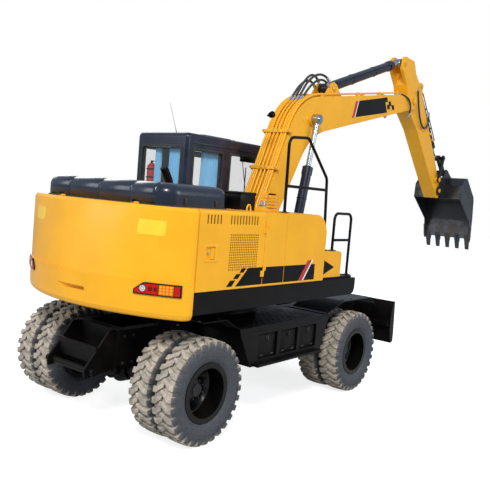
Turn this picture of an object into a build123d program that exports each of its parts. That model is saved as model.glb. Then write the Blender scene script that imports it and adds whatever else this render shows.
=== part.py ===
from build123d import *
import os
from math import cos, hypot, radians, sin, sqrt

# Wheeled excavator. Millimetres, +X forward, +Y left, +Z up, the ground at Z 0.
# Side-view points are (x, z) pairs.

# Wheels and axles
wheelbase = 2920
tyre_radius = 525
tyre_width = 278
tyre_bore = 262
twin_pitch = 320
outer_tyre_y = 1106
rim_flange_radius = 300
rim_barrel_radius = 247
drum_radius = 185
kingpin_y = 560
seat_gap = 0.3
moving_gap = 8

# Overhangs from the rear axle, which place the model's middle at X 0
tail_overhang = 790
swing_from_rear = 1350
foot_from_swing = 550
foot_z = 1700

# Boom, arm and bucket at rest, each from the pin before it
boom_reach = (4310, 2650)
boom_bend_back = (775, 2139)
boom_bend_belly = (1095, 1673)
boom_back_round = 820
boom_belly_round = 900
boom_foot_radius = 130
boom_tip_radius = 127
boom_half = 180
arm_reach = (1600, -1490)
arm_half = 130
bucket_reach = (1180, -1160)
bucket_half = 490

front_overhang = swing_from_rear + foot_from_swing + boom_reach[0] + arm_reach[0] + bucket_reach[0]
rear_x = (tail_overhang - front_overhang) / 2
front_x = rear_x + wheelbase
swing_x = rear_x + swing_from_rear
half_width = outer_tyre_y + tyre_width / 2

# Frame and deck levels
frame_bottom = 620
frame_top = 1020
rail_y = 300
rail_width = 110
bearing_bottom = 1180
bearing_top = 1320
bearing_radius = 560
deck_bottom = 1320
deck_plate = 80
skirt_top = 1530
body_top = 2300
body_wall = 40
deck_rear = rear_x - 320
deck_front = rear_x + 2700
body_half = 1240
seam = 6

deck_top = deck_bottom + deck_plate

# Pins of the boom, arm and bucket and of their cylinders
foot_pin = (swing_x + foot_from_swing, foot_z)


def beyond(start, step):
    return (start[0] + step[0], start[1] + step[1])


tip_pin = beyond(foot_pin, boom_reach)
bucket_pin = beyond(tip_pin, arm_reach)
boom_rod_pin = beyond(foot_pin, (1100, 1885))
boom_base_pin = beyond(foot_pin, (690, -180))
arm_base_pin = beyond(foot_pin, (1670, 2420))
arm_rod_pin = beyond(tip_pin, (-390, 610))
curl_base_pin = beyond(tip_pin, (430, 345))
rocker_pin = beyond(bucket_pin, (-150, 210))
curl_rod_pin = beyond(bucket_pin, (-30, 640))
link_pin = beyond(bucket_pin, (280, 360))

boom_cylinder_y = 262
barrel_radius = 66
rod_radius = 36

os.makedirs("parts", exist_ok=True)


def save(builder, name):
    builder.part.label = name
    export_step(builder.part, f"parts/{name}.step")


def side(y):
    # the side view through the given Y; extrusions go to the right, towards -Y
    return Plane.XZ.offset(-y)


def slab(points, y_left, y_right, rounds=(), mode=Mode.ADD):
    # a side-view outline between two Y values; rounds holds (corner number, radius)
    with BuildSketch(side(max(y_left, y_right))) as outline:
        with BuildLine():
            Polyline(*points, close=True)
        make_face()
        for number, radius in rounds:
            corner = outline.vertices().sort_by_distance((points[number][0], points[number][1], 0))[0]
            fillet(corner, radius)
    extrude(to_extrude=outline.sketch, amount=abs(y_left - y_right), mode=mode)


def pin(centre, radius, y_left, y_right, mode=Mode.ADD):
    with BuildSketch(side(max(y_left, y_right))) as disc:
        with Locations(centre):
            Circle(radius)
    extrude(to_extrude=disc.sketch, amount=abs(y_left - y_right), mode=mode)


def bar(start, end, radius, y=0, mode=Mode.ADD):
    # a round bar between two side-view points
    run = (end[0] - start[0], 0, end[1] - start[1])
    with BuildSketch(Plane(origin=(start[0], y, start[1]), z_dir=run)) as disc:
        Circle(radius)
    extrude(to_extrude=disc.sketch, amount=hypot(run[0], run[2]), mode=mode)


def box(x_limits, y_limits, z_limits, mode=Mode.ADD):
    size = [abs(b - a) for a, b in (x_limits, y_limits, z_limits)]
    with Locations([(sum(x_limits) / 2, sum(y_limits) / 2, sum(z_limits) / 2)]):
        Box(*size, mode=mode)


def between(a, b, share):
    return (a[0] + (b[0] - a[0]) * share, a[1] + (b[1] - a[1]) * share)


def toward(a, b, distance):
    return between(a, b, distance / hypot(b[0] - a[0], b[1] - a[1]))


def beside(a, b, distance):
    # the point that far to the left of a, looking from a to b
    length = hypot(b[0] - a[0], b[1] - a[1])
    return (a[0] - (b[1] - a[1]) / length * distance, a[1] + (b[0] - a[0]) / length * distance)


# Tyres and rims, a pair on each hub; columns: name, axle X, side (+1 left)
corners = [
    ("front_left", front_x, 1),
    ("front_right", front_x, -1),
    ("rear_left", rear_x, 1),
    ("rear_right", rear_x, -1),
]

lugs_per_row = 14
lug_pitch = 360 / lugs_per_row
lug_tip_share = 0.24
lug_root_share = 0.32
lug_height = 33
tread_half = tyre_width / 2 - 14
bulge_radius = tyre_radius - 130
bead_half = tyre_width / 2 - 40
bead_rise = 4


def lug_outline(phase):
    # flat-topped lugs round the tyre, each with its middle at the tyre's radius
    tip = tyre_radius / cos(radians(lug_tip_share * lug_pitch))
    root = tyre_radius - lug_height
    points = []
    for number in range(lugs_per_row):
        for share, radius in (
            (-lug_root_share, root),
            (-lug_tip_share, tip),
            (lug_tip_share, tip),
            (lug_root_share, root),
        ):
            angle = radians((number + phase + share) * lug_pitch)
            points.append((radius * sin(angle), radius * cos(angle)))
    return points


def tyre_ring(y, radius):
    # the corners of a flat-sided ring round the axle at the given Y; the radius is to its flats
    reach = radius / cos(radians(lug_pitch / 2))
    angles = [radians((number + 0.5) * lug_pitch) for number in range(lugs_per_row)]
    return [(reach * sin(angle), y, reach * cos(angle)) for angle in angles]


def tapered(start, end):
    # the flat-sided solid between two such rings
    walls = [
        Face(Wire.make_polygon([start[number - 1], start[number], end[number], end[number - 1]]))
        for number in range(lugs_per_row)
    ]
    return Solid(Shell([Face(Wire.make_polygon(start)), Face(Wire.make_polygon(end)), *walls]))


# One tyre about the origin, with two rows of lugs half a step apart
with BuildPart() as one_tyre:
    for start, phase in ((tread_half, 0), (0, 0.5)):
        with BuildSketch(side(start)):
            Polygon(*lug_outline(phase), align=None)
        extrude(amount=tread_half)
    for outward in (1, -1):
        shoulder = tyre_ring(outward * (tread_half - 1), tyre_radius - lug_height - 15)
        bulge = tyre_ring(outward * tyre_width / 2, bulge_radius)
        bead = tyre_ring(outward * bead_half, rim_flange_radius + bead_rise)
        add(tapered(shoulder, bulge))
        add(tapered(bulge, bead), mode=Mode.SUBTRACT)
    bore_ends = [tyre_ring(outward * tyre_width / 2, tyre_bore) for outward in (1, -1)]
    add(tapered(*bore_ends), mode=Mode.SUBTRACT)


def wheel_side(x, turn):
    # a plane whose x runs outwards along the axle and whose y is up
    return Plane(origin=(x, 0, tyre_radius), x_dir=(0, turn, 0), z_dir=(turn, 0, 0))


hub_face_y = 560 + 60
disc_y = outer_tyre_y - twin_pitch / 2
disc_thick = 16

for name, x, turn in corners:
    with BuildPart() as tyres:
        with Locations(*[(x, turn * y, tyre_radius) for y in (outer_tyre_y, outer_tyre_y - twin_pitch)]):
            add(one_tyre.part)
    save(tyres, f"tyres_{name}")

    with BuildPart() as rims:
        with BuildSketch(wheel_side(x, turn)) as section:
            # the two rim barrels with their flanges, the disc between them and the hub
            for y in (outer_tyre_y, outer_tyre_y - twin_pitch):
                with BuildLine():
                    Polyline(
                        (y - bead_half - 12, rim_flange_radius),
                        (y - bead_half - 2, rim_flange_radius),
                        (y - bead_half - 2, tyre_bore - seat_gap),
                        (y + bead_half + 2, tyre_bore - seat_gap),
                        (y + bead_half + 2, rim_flange_radius),
                        (y + bead_half + 12, rim_flange_radius),
                        (y + bead_half + 12, rim_barrel_radius),
                        (y - bead_half - 12, rim_barrel_radius),
                        close=True,
                    )
                make_face()
        revolve(axis=Axis((x, 0, tyre_radius), (0, 1, 0)))
        with BuildSketch(wheel_side(x, turn)) as section:
            with BuildLine():
                Polyline(
                    (disc_y - disc_thick / 2, 0),
                    (disc_y - disc_thick / 2, rim_barrel_radius + 2),
                    (disc_y + disc_thick / 2 + 70, rim_barrel_radius + 2),
                    (disc_y + disc_thick / 2 + 60, rim_barrel_radius - 10),
                    (disc_y + disc_thick / 2, 190),
                    (disc_y + disc_thick / 2, 135),
                    (disc_y + 60, 128),
                    (disc_y + 120, 105),
                    (disc_y + 132, 60),
                    (disc_y + 132, 0),
                    close=True,
                )
            make_face()
            with BuildLine():
                Polyline(
                    (hub_face_y + 120, 0),
                    (hub_face_y + 120, 120),
                    (disc_y, 120),
                    (disc_y, 0),
                    close=True,
                )
            make_face()
        revolve(axis=Axis((x, 0, tyre_radius), (0, 1, 0)))
        with BuildSketch(wheel_side(x, turn)) as section:
            with BuildLine():
                Polyline(
                    (disc_y - disc_thick, rim_barrel_radius - 14),
                    (disc_y - disc_thick, rim_barrel_radius + 2),
                    (outer_tyre_y - bead_half, rim_barrel_radius + 2),
                    (outer_tyre_y - bead_half, rim_barrel_radius - 14),
                    close=True,
                )
            make_face()
            with BuildLine():
                Polyline(
                    (outer_tyre_y - twin_pitch + bead_half, rim_barrel_radius - 14),
                    (outer_tyre_y - twin_pitch + bead_half, rim_barrel_radius + 2),
                    (disc_y + disc_thick, rim_barrel_radius + 2),
                    (disc_y + disc_thick, rim_barrel_radius - 14),
                    close=True,
                )
            make_face()
        revolve(axis=Axis((x, 0, tyre_radius), (0, 1, 0)))
        # hand holes round the disc
        hole_plane = Plane(origin=(x, 0, tyre_radius), x_dir=(1, 0, 0), z_dir=(0, turn, 0)).offset(disc_y - 40)
        with BuildSketch(hole_plane):
            with PolarLocations(162, 8):
                Circle(20)
        extrude(amount=80, mode=Mode.SUBTRACT)
    save(rims, f"rims_{name}")

# Chassis: two rails with cross members, the bearing pedestal, and brackets at both ends
rail_rear = rear_x - 420
rail_front = front_x + 320
rail_inner = rail_y - rail_width / 2
rail_outer = rail_y + rail_width / 2
top_plate = 20
pedestal_radius = 620
tail_plate_y = 300
tail_tube_radius = 33
tail_tube = (rear_x - 700, 640)
blade_link_step = (700, 220)
blade_arm_pivot = (front_x + 200, 440)
blade_link_pivot = (front_x + 200, 740)
blade_lift_pivot = (front_x + 380, 1000)
blade_arm_y = 300
blade_link_y = 180
blade_pin_radius = 22
rod_gap = 0.5
pin_gap = 0.3

with BuildPart() as chassis_frame:
    for turn in (1, -1):
        box((rail_rear, rail_front), (turn * rail_inner, turn * rail_outer), (frame_bottom, frame_top))
        # tail plates that slope down to the cross tube
        slab(
            [
                (rail_rear + 40, frame_top),
                (rail_rear + 40, frame_bottom),
                (tail_tube[0] - 60, tail_tube[1] - 60),
                (tail_tube[0] - 75, tail_tube[1] + 20),
                (rail_rear - 60, frame_top),
            ],
            turn * (rail_y - 20),
            turn * (rail_y + 5),
        )
        # front lugs for the blade arms, under and ahead of the rails
        for y in (blade_arm_y - 62, blade_arm_y + 48):
            slab(
                [
                    (blade_arm_pivot[0] - 90, frame_bottom + 10),
                    (blade_arm_pivot[0] - 55, blade_arm_pivot[1] - 40),
                    (blade_arm_pivot[0] + 55, blade_arm_pivot[1] - 40),
                    (rail_front - 20, frame_bottom + 10),
                ],
                turn * y,
                turn * (y + 14),
            )
        # upper lugs for the lift cylinders
        for y in (blade_arm_y - 55, blade_arm_y + 41):
            slab(
                [
                    (rail_front - 60, frame_top - 160),
                    (blade_lift_pivot[0] + 30, blade_lift_pivot[1] - 50),
                    (blade_lift_pivot[0] + 45, blade_lift_pivot[1] + 20),
                    (blade_lift_pivot[0] - 10, blade_lift_pivot[1] + 50),
                    (rail_front - 60, frame_top + 25),
                ],
                turn * y,
                turn * (y + 14),
            )
        # lugs for the upper links, on the front cross member
        for y in (blade_link_y - 40, blade_link_y + 26):
            slab(
                [
                    (front_x + 100, frame_bottom + 95),
                    (blade_link_pivot[0] + 40, blade_link_pivot[1] - 40),
                    (blade_link_pivot[0] + 40, blade_link_pivot[1] + 40),
                    (front_x + 100, frame_top - 150),
                ],
                turn * y,
                turn * (y + 14),
            )
    # cross members: columns X from the rear axle, length, bottom Z, top Z
    for start, length, low, high in (
        (-400, 120, 760, frame_top),
        (330, 120, frame_bottom, frame_top),
        (2200, 120, frame_bottom, frame_top),
        (wheelbase, 110, frame_bottom + 90, frame_top - 20),
    ):
        x = rear_x + start
        box((x, x + length), (-rail_inner - 5, rail_inner + 5), (low, high))
    box((rear_x + 300, rear_x + 2350), (-470, 470), (frame_top, frame_top + top_plate))
    with BuildSketch(Plane.XY.offset(frame_top)):
        with Locations((swing_x, 0)):
            Circle(pedestal_radius)
    with BuildSketch(Plane.XY.offset(bearing_bottom)):
        with Locations((swing_x, 0)):
            Circle(bearing_radius)
    loft()
    for turn in (1, -1):
        # columns: pin centre, middle Y, half length
        for centre, y, half in (
            (blade_arm_pivot, blade_arm_y, 68),
            (blade_link_pivot, blade_link_y, 46),
            (blade_lift_pivot, blade_arm_y, 60),
        ):
            pin(centre, blade_pin_radius, turn * (y - half), turn * (y + half))
    # outriggers that carry the side boxes
    for turn in (1, -1):
        for start in (820, 1800):
            x = rear_x + start
            box((x, x + 140), (turn * (rail_outer - 5), turn * 620), (740, 900))
    pin(tail_tube, tail_tube_radius, -tail_plate_y - 75, tail_plate_y + 75)
    box((tail_tube[0] + 60, tail_tube[0] + 80), (-rail_y, rail_y), (tail_tube[1] + 60, tail_tube[1] + 230))
save(chassis_frame, "chassis_frame")

with BuildPart() as slew_bearing:
    with BuildSketch(Plane.XY.offset(bearing_bottom + seat_gap)):
        with Locations((swing_x, 0)):
            Circle(bearing_radius - 20)
            Circle(bearing_radius - 110, mode=Mode.SUBTRACT)
    extrude(amount=bearing_top - bearing_bottom - 2 * seat_gap)
    with BuildSketch(Plane.XY.offset(bearing_bottom + 40)):
        with Locations((swing_x, 0)):
            Circle(bearing_radius + 15)
            Circle(bearing_radius - 40, mode=Mode.SUBTRACT)
    extrude(amount=55)
save(slew_bearing, "slew_bearing")

# Side boxes between the wheels, each with a recessed door and a step below
side_box_inner = 620
side_box_outer = 1180
side_box_bottom = 660
side_box_top = 1090
step_width = 60
box_rear_top = rear_x + 480
box_front_top = rear_x + 2240
box_rear_low = rear_x + 700
box_front_low = rear_x + 2080

with BuildPart() as side_boxes:
    for turn in (1, -1):
        slab(
            [
                (box_rear_top, side_box_top),
                (box_front_top, side_box_top),
                (box_front_top - 20, side_box_top - 60),
                (box_front_low, side_box_bottom),
                (box_rear_low, side_box_bottom),
                (box_rear_top + 20, side_box_top - 60),
            ],
            turn * side_box_inner,
            turn * side_box_outer,
        )
        # the step along the foot of the box
        box(
            (box_rear_low + 60, box_front_low - 60),
            (turn * (side_box_outer - 5), turn * (side_box_outer + step_width)),
            (side_box_bottom, side_box_bottom + 24),
        )
    for turn in (1, -1):
        # three recessed panels; columns: rear X at the foot, front X at the foot
        for start, end in ((820, 1160), (1220, 1560), (1620, 1960)):
            box(
                (rear_x + start, rear_x + end),
                (turn * (side_box_outer - 30), turn * (side_box_outer + 5)),
                (side_box_bottom + 70, side_box_top - 90),
                mode=Mode.SUBTRACT,
            )
save(side_boxes, "side_boxes")

# Mudguards: bent plates over each pair of wheels
guard_top = 1205
guard_plate = 8
guard_inner = 620
guard_outer = 1160


def bent_plate(points, thickness, y_left, y_right):
    # a plate of the given thickness whose lower face follows the points
    upper = [(x, z + thickness) for x, z in reversed(points)]
    slab(points + upper, y_left, y_right)


with BuildPart() as mudguards:
    for turn in (1, -1):
        bent_plate(
            [
                (box_front_top - 90, side_box_top + seat_gap),
                (box_front_top, side_box_top + seat_gap),
                (front_x - 290, guard_top),
                (front_x + 440, guard_top),
                (front_x + 560, guard_top - 90),
            ],
            guard_plate,
            turn * guard_inner,
            turn * guard_outer,
        )
        bent_plate(
            [
                (rear_x - 60, guard_top),
                (rear_x + 280, guard_top),
                (box_rear_top, side_box_top + seat_gap),
                (box_rear_top + 90, side_box_top + seat_gap),
            ],
            guard_plate,
            turn * guard_inner,
            turn * guard_outer,
        )
save(mudguards, "mudguards")

# Axles and drive line
gearbox_x = rear_x + 1150
diff_radius = 175
drum_inner = 640
drum_outer = 735
pinion_level = tyre_radius + 20
spindle_end = hub_face_y + 120 - seat_gap
yoke_height = 150
yoke_plate = 40
kingpin_radius = 32

with BuildPart() as axles:
    pin((rear_x, tyre_radius), 95, spindle_end, -spindle_end)
    for turn in (1, -1):
        pin((rear_x, tyre_radius), drum_radius, turn * drum_inner, turn * drum_outer)
        # the pads that the rails rest on
        box(
            (rear_x - 120, rear_x + 120),
            (turn * (rail_inner - 10), turn * (rail_outer + 10)),
            (tyre_radius, frame_bottom - seat_gap),
        )
    with BuildSketch(Plane.XZ) as section:
        with Locations((rear_x, tyre_radius)):
            Circle(diff_radius)
    extrude(to_extrude=section.sketch, amount=150, both=True, taper=20)
    bar((rear_x, pinion_level), (rear_x + 300, pinion_level), 80)
    pin((front_x, tyre_radius), 90, 470, -470)
    for turn in (1, -1):
        for level in (-1, 1):
            middle = tyre_radius + level * (yoke_height + yoke_plate / 2)
            with BuildSketch(Plane.XY.offset(middle - yoke_plate / 2)) as yoke:
                with Locations((front_x, turn * kingpin_y)):
                    Circle(62)
                with Locations((front_x, turn * (kingpin_y - 65))):
                    Rectangle(124, 130)
            extrude(to_extrude=yoke.sketch, amount=yoke_plate)
        box(
            (front_x - 62, front_x + 62),
            (turn * (kingpin_y - 150), turn * (kingpin_y - 90)),
            (tyre_radius - yoke_height - yoke_plate, tyre_radius + yoke_height + yoke_plate),
        )
        box(
            (front_x - 110, front_x + 90),
            (turn * (rail_inner - 10), turn * (rail_outer + 10)),
            (tyre_radius, frame_bottom - seat_gap),
        )
    for turn in (1, -1):
        with BuildSketch(Plane.XY.offset(tyre_radius - 250)) as bore:
            with Locations((front_x, turn * kingpin_y)):
                Circle(kingpin_radius + pin_gap)
        extrude(to_extrude=bore.sketch, amount=500, mode=Mode.SUBTRACT)
    with BuildSketch(Plane.XZ) as section:
        with Locations((front_x, tyre_radius)):
            Circle(diff_radius - 20)
    extrude(to_extrude=section.sketch, amount=140, both=True, taper=20)
    bar((front_x, pinion_level), (front_x - 280, pinion_level), 70)
    # the gearbox under the frame and the two shafts to the axles
    box((gearbox_x - 190, gearbox_x + 190), (-190, 190), (500, frame_top - 90))
    # each shaft runs between two flanges that face along X
    for start, end in (
        ((rear_x + 300 + seat_gap, pinion_level), (gearbox_x - 180, 600)),
        ((front_x - 280 - seat_gap, pinion_level), (gearbox_x + 180, 600)),
    ):
        inward = 40 if end[0] > start[0] else -40
        bar(start, (start[0] + inward, start[1]), 62)
        bar((start[0] + inward, start[1]), end, 38)
        bar(toward(end, start, 60), end, 62)
    box((gearbox_x - 150, gearbox_x + 150), (-rail_inner + seat_gap, rail_inner - seat_gap), (700, 900))
save(axles, "axles")

# Steering knuckles with their brake drums, and the rod that ties them
knuckle_half = yoke_height - moving_gap
kingpin_half = yoke_height + yoke_plate + 12
arm_length = 200
arm_level = 395
arm_plate = 22
tie_rod_radius = 16

for name, turn in (("left", 1), ("right", -1)):
    with BuildPart() as knuckle:
        with BuildSketch(Plane.XY.offset(tyre_radius - knuckle_half)):
            with Locations((front_x, turn * kingpin_y)):
                Circle(55)
        extrude(amount=2 * knuckle_half)
        with BuildSketch(Plane.XY.offset(tyre_radius - kingpin_half)):
            with Locations((front_x, turn * kingpin_y)):
                Circle(kingpin_radius)
        extrude(amount=2 * kingpin_half)
        pin((front_x, tyre_radius), 88, turn * (kingpin_y + 20), turn * spindle_end)
        pin((front_x, tyre_radius), drum_radius, turn * drum_inner, turn * drum_outer)
        with BuildSketch(Plane.XY.offset(arm_level)) as arm_outline:
            with BuildLine():
                Polyline(
                    (front_x + 30, turn * (kingpin_y + 40)),
                    (front_x + 30, turn * (kingpin_y - 30)),
                    (front_x - arm_length - 30, turn * (kingpin_y - 60)),
                    (front_x - arm_length - 30, turn * kingpin_y),
                    close=True,
                )
            make_face()
        extrude(to_extrude=arm_outline.sketch, amount=arm_plate)
    save(knuckle, f"knuckle_{name}")

tie_level = arm_level + arm_plate + 34
with BuildPart() as tie_rod:
    with BuildSketch(Plane(origin=(front_x - arm_length, kingpin_y - 40, tie_level), z_dir=(0, -1, 0))) as disc:
        Circle(tie_rod_radius)
    extrude(to_extrude=disc.sketch, amount=2 * (kingpin_y - 40))
    for turn in (1, -1):
        with BuildSketch(Plane.XY.offset(arm_level + arm_plate + seat_gap)) as eye:
            with Locations((front_x - arm_length, turn * (kingpin_y - 30))):
                Circle(30)
        extrude(to_extrude=eye.sketch, amount=52)
save(tie_rod, "tie_rod")

# Dozer blade on parallel arms and links, raised at rest
blade_arm_end = beyond(blade_arm_pivot, blade_link_step)
blade_link_end = beyond(blade_link_pivot, blade_link_step)
blade_bottom = 530
blade_top = 1120
blade_back = front_x + 945
blade_bow = 60
blade_plate = 16
blade_half = 1240

lift_foot = between(blade_arm_pivot, blade_arm_end, 0.68)
blade_fork = 26
blade_fork_plate = 14
blade_arm_depth = 45

with BuildPart() as blade_arms:
    low = beside(blade_arm_pivot, blade_arm_end, -blade_arm_depth)
    high = beside(blade_arm_pivot, blade_arm_end, blade_arm_depth)
    for turn in (1, -1):
        for y in (-blade_fork - blade_fork_plate, blade_fork):
            inner = turn * (blade_arm_y + y)
            outer = turn * (blade_arm_y + y + blade_fork_plate)
            slab([low, high, beyond(high, blade_link_step), beyond(low, blade_link_step)], inner, outer)
            pin(blade_arm_end, blade_arm_depth, inner, outer)
        # the closed rear half of each arm
        inner = turn * (blade_arm_y - blade_fork - 2)
        outer = turn * (blade_arm_y + blade_fork + 2)
        half_step = (blade_link_step[0] * 0.45, blade_link_step[1] * 0.45)
        slab([low, high, beyond(high, half_step), beyond(low, half_step)], inner, outer)
        full = blade_fork + blade_fork_plate
        pin(blade_arm_pivot, blade_arm_depth, turn * (blade_arm_y - full), turn * (blade_arm_y + full))
        pin(lift_foot, 18, turn * (blade_arm_y - full - 6), turn * (blade_arm_y - blade_fork))
        pin(lift_foot, 18, turn * (blade_arm_y + blade_fork), turn * (blade_arm_y + full + 6))
    # the torque tube between the arms
    pin(between(blade_arm_pivot, blade_arm_end, 0.3), 34, blade_arm_y - 20, -blade_arm_y + 20)
    for centre in (blade_arm_pivot, blade_arm_end):
        pin(centre, blade_pin_radius + pin_gap, blade_arm_y + 60, -blade_arm_y - 60, mode=Mode.SUBTRACT)
save(blade_arms, "blade_arms")

with BuildPart() as blade_links:
    for turn in (1, -1):
        inner = turn * (blade_link_y - 18)
        outer = turn * (blade_link_y + 18)
        bar(blade_link_pivot, blade_link_end, 20, turn * blade_link_y)
        pin(blade_link_pivot, 36, inner, outer)
        pin(blade_link_end, 36, inner, outer)
    for centre in (blade_link_pivot, blade_link_end):
        pin(centre, blade_pin_radius + pin_gap, blade_link_y + 60, -blade_link_y - 60, mode=Mode.SUBTRACT)
save(blade_links, "blade_links")


def barrel(base, eye, y, radius, rod, base_eye, base_pin, hollow_from, end):
    # a cylinder's tube from its base pin, bored for its rod; base_eye is (radius, half width)
    pin(base, base_eye[0], y - base_eye[1], y + base_eye[1])
    bar(base, toward(base, eye, base_eye[0] + 25), base_eye[1] * 0.8, y)
    bar(toward(base, eye, base_eye[0] + 15), toward(base, eye, end), radius, y)
    bar(toward(base, eye, end - radius * 1.6), toward(base, eye, end), radius * 1.13, y)
    bar(toward(base, eye, hollow_from), toward(base, eye, end + 5), rod + rod_gap, y, mode=Mode.SUBTRACT)
    pin(base, base_pin + pin_gap, y - base_eye[1] - 5, y + base_eye[1] + 5, mode=Mode.SUBTRACT)


def rod_and_eye(base, eye, y, radius, inner_end, rod_eye):
    # rod_eye is (radius, half width)
    bar(toward(base, eye, inner_end), eye, radius, y)
    pin(eye, rod_eye[0], y - rod_eye[1], y + rod_eye[1])


# Lift cylinders of the blade
lift_rod_radius = 20
with BuildPart() as blade_barrels:
    for turn in (1, -1):
        y = turn * blade_arm_y
        barrel(blade_lift_pivot, lift_foot, y, 40, lift_rod_radius, (38, 36), blade_pin_radius, 56, 415)
save(blade_barrels, "blade_barrels")

with BuildPart() as blade_rods:
    for turn in (1, -1):
        rod_and_eye(blade_lift_pivot, lift_foot, turn * blade_arm_y, lift_rod_radius, 62, (34, 18))
save(blade_rods, "blade_rods")

# The blade itself: a plate bowed to the rear, with end plates and brackets behind
blade_middle = (blade_bottom + blade_top) / 2
with BuildPart() as dozer_blade:
    with BuildSketch(Plane.XZ.offset(-blade_half)) as section:
        with BuildLine():
            ThreePointArc(
                (blade_back + blade_bow, blade_bottom),
                (blade_back, blade_middle),
                (blade_back + blade_bow, blade_top),
            )
            Line((blade_back + blade_bow, blade_top), (blade_back + blade_bow + blade_plate, blade_top))
            ThreePointArc(
                (blade_back + blade_bow + blade_plate, blade_top),
                (blade_back + blade_plate, blade_middle),
                (blade_back + blade_bow + blade_plate, blade_bottom),
            )
            Line((blade_back + blade_bow + blade_plate, blade_bottom), (blade_back + blade_bow, blade_bottom))
        make_face()
    extrude(amount=2 * blade_half)
    for turn in (1, -1):
        slab(
            [
                (blade_back + blade_bow - 6, blade_bottom),
                (blade_back + 130, blade_bottom),
                (blade_back + 130, blade_bottom + 130),
                (blade_back + 95, blade_top),
                (blade_back + blade_bow - 6, blade_top),
                (blade_back + 2, blade_middle),
            ],
            turn * (blade_half - 16),
            turn * blade_half,
        )
        # a lug inside each arm's fork, and cheeks either side of each link; columns: pin, Y limits
        for centre, inner, outer in (
            (blade_arm_end, blade_arm_y - 18, blade_arm_y + 18),
            (blade_link_end, blade_link_y - 42, blade_link_y - 28),
            (blade_link_end, blade_link_y + 28, blade_link_y + 42),
        ):
            slab(
                [
                    (centre[0] - 42, centre[1] - 30),
                    (centre[0] - 42, centre[1] + 30),
                    (centre[0] + 20, centre[1] + 70),
                    (blade_back + 30, centre[1] + 90),
                    (blade_back + 30, centre[1] - 60),
                    (centre[0] + 20, centre[1] - 60),
                ],
                turn * inner,
                turn * outer,
            )
        pin(blade_arm_end, blade_pin_radius, turn * (blade_arm_y - 48), turn * (blade_arm_y + 48))
        pin(blade_link_end, blade_pin_radius, turn * (blade_link_y - 48), turn * (blade_link_y + 48))
    # the stiffening channel across the back, and the cutting edge
    box((blade_back - 55, blade_back + 12), (-blade_half + 20, blade_half - 20), (blade_middle - 60, blade_middle + 25))
    box(
        (blade_back + blade_bow + 2, blade_back + blade_bow + 32),
        (-blade_half, blade_half),
        (blade_bottom - 12, blade_bottom + 130),
    )
save(dozer_blade, "dozer_blade")

# Upper frame: the deck with its black skirts, the boom's side plates and the front platform
boom_plate_y = boom_half + moving_gap
boom_plate = 38
cylinder_eye_half = 44
cylinder_lug = 22
nose_inner = boom_cylinder_y - cylinder_eye_half - moving_gap - cylinder_lug
nose_outer = boom_cylinder_y + cylinder_eye_half + moving_gap
skirt_plate = 40
platform_top = skirt_top + 25

with BuildPart() as upper_frame:
    box((deck_rear, deck_front), (-1200, 1200), (deck_bottom, deck_top))
    # skirts; the left one drops to the deck under the cab; columns: side, step X
    for turn, step_x in ((1, rear_x + 1084), (-1, deck_front)):
        slab(
            [
                (deck_rear, deck_bottom),
                (deck_front - 90, deck_bottom),
                (deck_front - 25, deck_bottom + 25),
                (deck_front, deck_top - 1),
                (step_x - 1, deck_top),
                (step_x, skirt_top),
                (deck_rear, skirt_top),
            ],
            turn * (body_half - skirt_plate),
            turn * body_half,
        )
    for turn in (1, -1):
        # the boom's side plates rise from the deck to its foot pin
        slab(
            [
                (foot_pin[0] - 420, deck_top - 5),
                (foot_pin[0] - 130, foot_z + 100),
                (foot_pin[0] - 70, foot_z + 150),
                (foot_pin[0] + 70, foot_z + 150),
                (foot_pin[0] + 130, foot_z + 90),
                (foot_pin[0] + 330, deck_top + 90),
                (foot_pin[0] + 560, deck_top - 5),
            ],
            turn * boom_plate_y,
            turn * (boom_plate_y + boom_plate),
        )
        # lugs at the nose for the boom cylinders
        for y in (nose_inner, nose_outer):
            slab(
                [
                    (boom_base_pin[0] - 150, deck_top - 5),
                    (boom_base_pin[0] - 55, boom_base_pin[1] + 35),
                    (boom_base_pin[0], boom_base_pin[1] + 62),
                    (boom_base_pin[0] + 50, boom_base_pin[1] + 30),
                    (deck_front, deck_top - 5),
                ],
                turn * y,
                turn * (y + cylinder_lug),
            )
        pin(boom_base_pin, 38, turn * nose_inner, turn * (nose_outer + cylinder_lug))
    pin(foot_pin, 45, boom_plate_y + boom_plate + 6, -boom_plate_y - boom_plate - 6)
    # front platform on the right, which the small handrail stands on
    box((rear_x + 1911, deck_front - 30), (-1195, -420), (deck_top, platform_top))
    # nose plate
    box((deck_front - 5, deck_front + 15), (-1200, 1200), (deck_bottom + 60, deck_top + 40))
save(upper_frame, "upper_frame")

# Counterweight: a tail on the swing circle, a bumper band below a leaning back
tail_radius = swing_from_rear + tail_overhang
weight_bottom = 1270
band_top = 1600
crease_step = 25
lean = 105
weight_front = deck_rear - seam
tail_x = swing_x - tail_radius
side_x = swing_x - sqrt(tail_radius**2 - body_half**2)


def tail_outline(back_x, half):
    # square at the joint with the deck, short straight sides and a bowed back
    with BuildLine() as edge:
        Polyline((side_x, half), (weight_front, half), (weight_front, -half), (side_x, -half))
        ThreePointArc((side_x, -half), (back_x, 0), (side_x, half))
    make_face(edge.edges())


# Hinges on upright axes just outside the panels
hinge_y = body_half + 10
hinge_radius = 8
knuckle = 60
leaf_reach = 40


def hinge_half(x, y, low, leaf_x, panel_y):
    # half of a hinge: a barrel on the axis and a leaf that reaches its panel
    with BuildSketch(Plane.XY.offset(low)) as barrel_end:
        with Locations((x, y)):
            Circle(hinge_radius)
    extrude(to_extrude=barrel_end.sketch, amount=knuckle)
    box((x, leaf_x), (panel_y, y), (low, low + knuckle))


# The hood turns about its rear edge, on hinges that lie along Y
hood_rear = rear_x - 480
hood_front = rear_x + 470
hood_hinge = (hood_rear - 10, body_top + 10)
hood_hinge_ys = (-600, 540)


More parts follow.
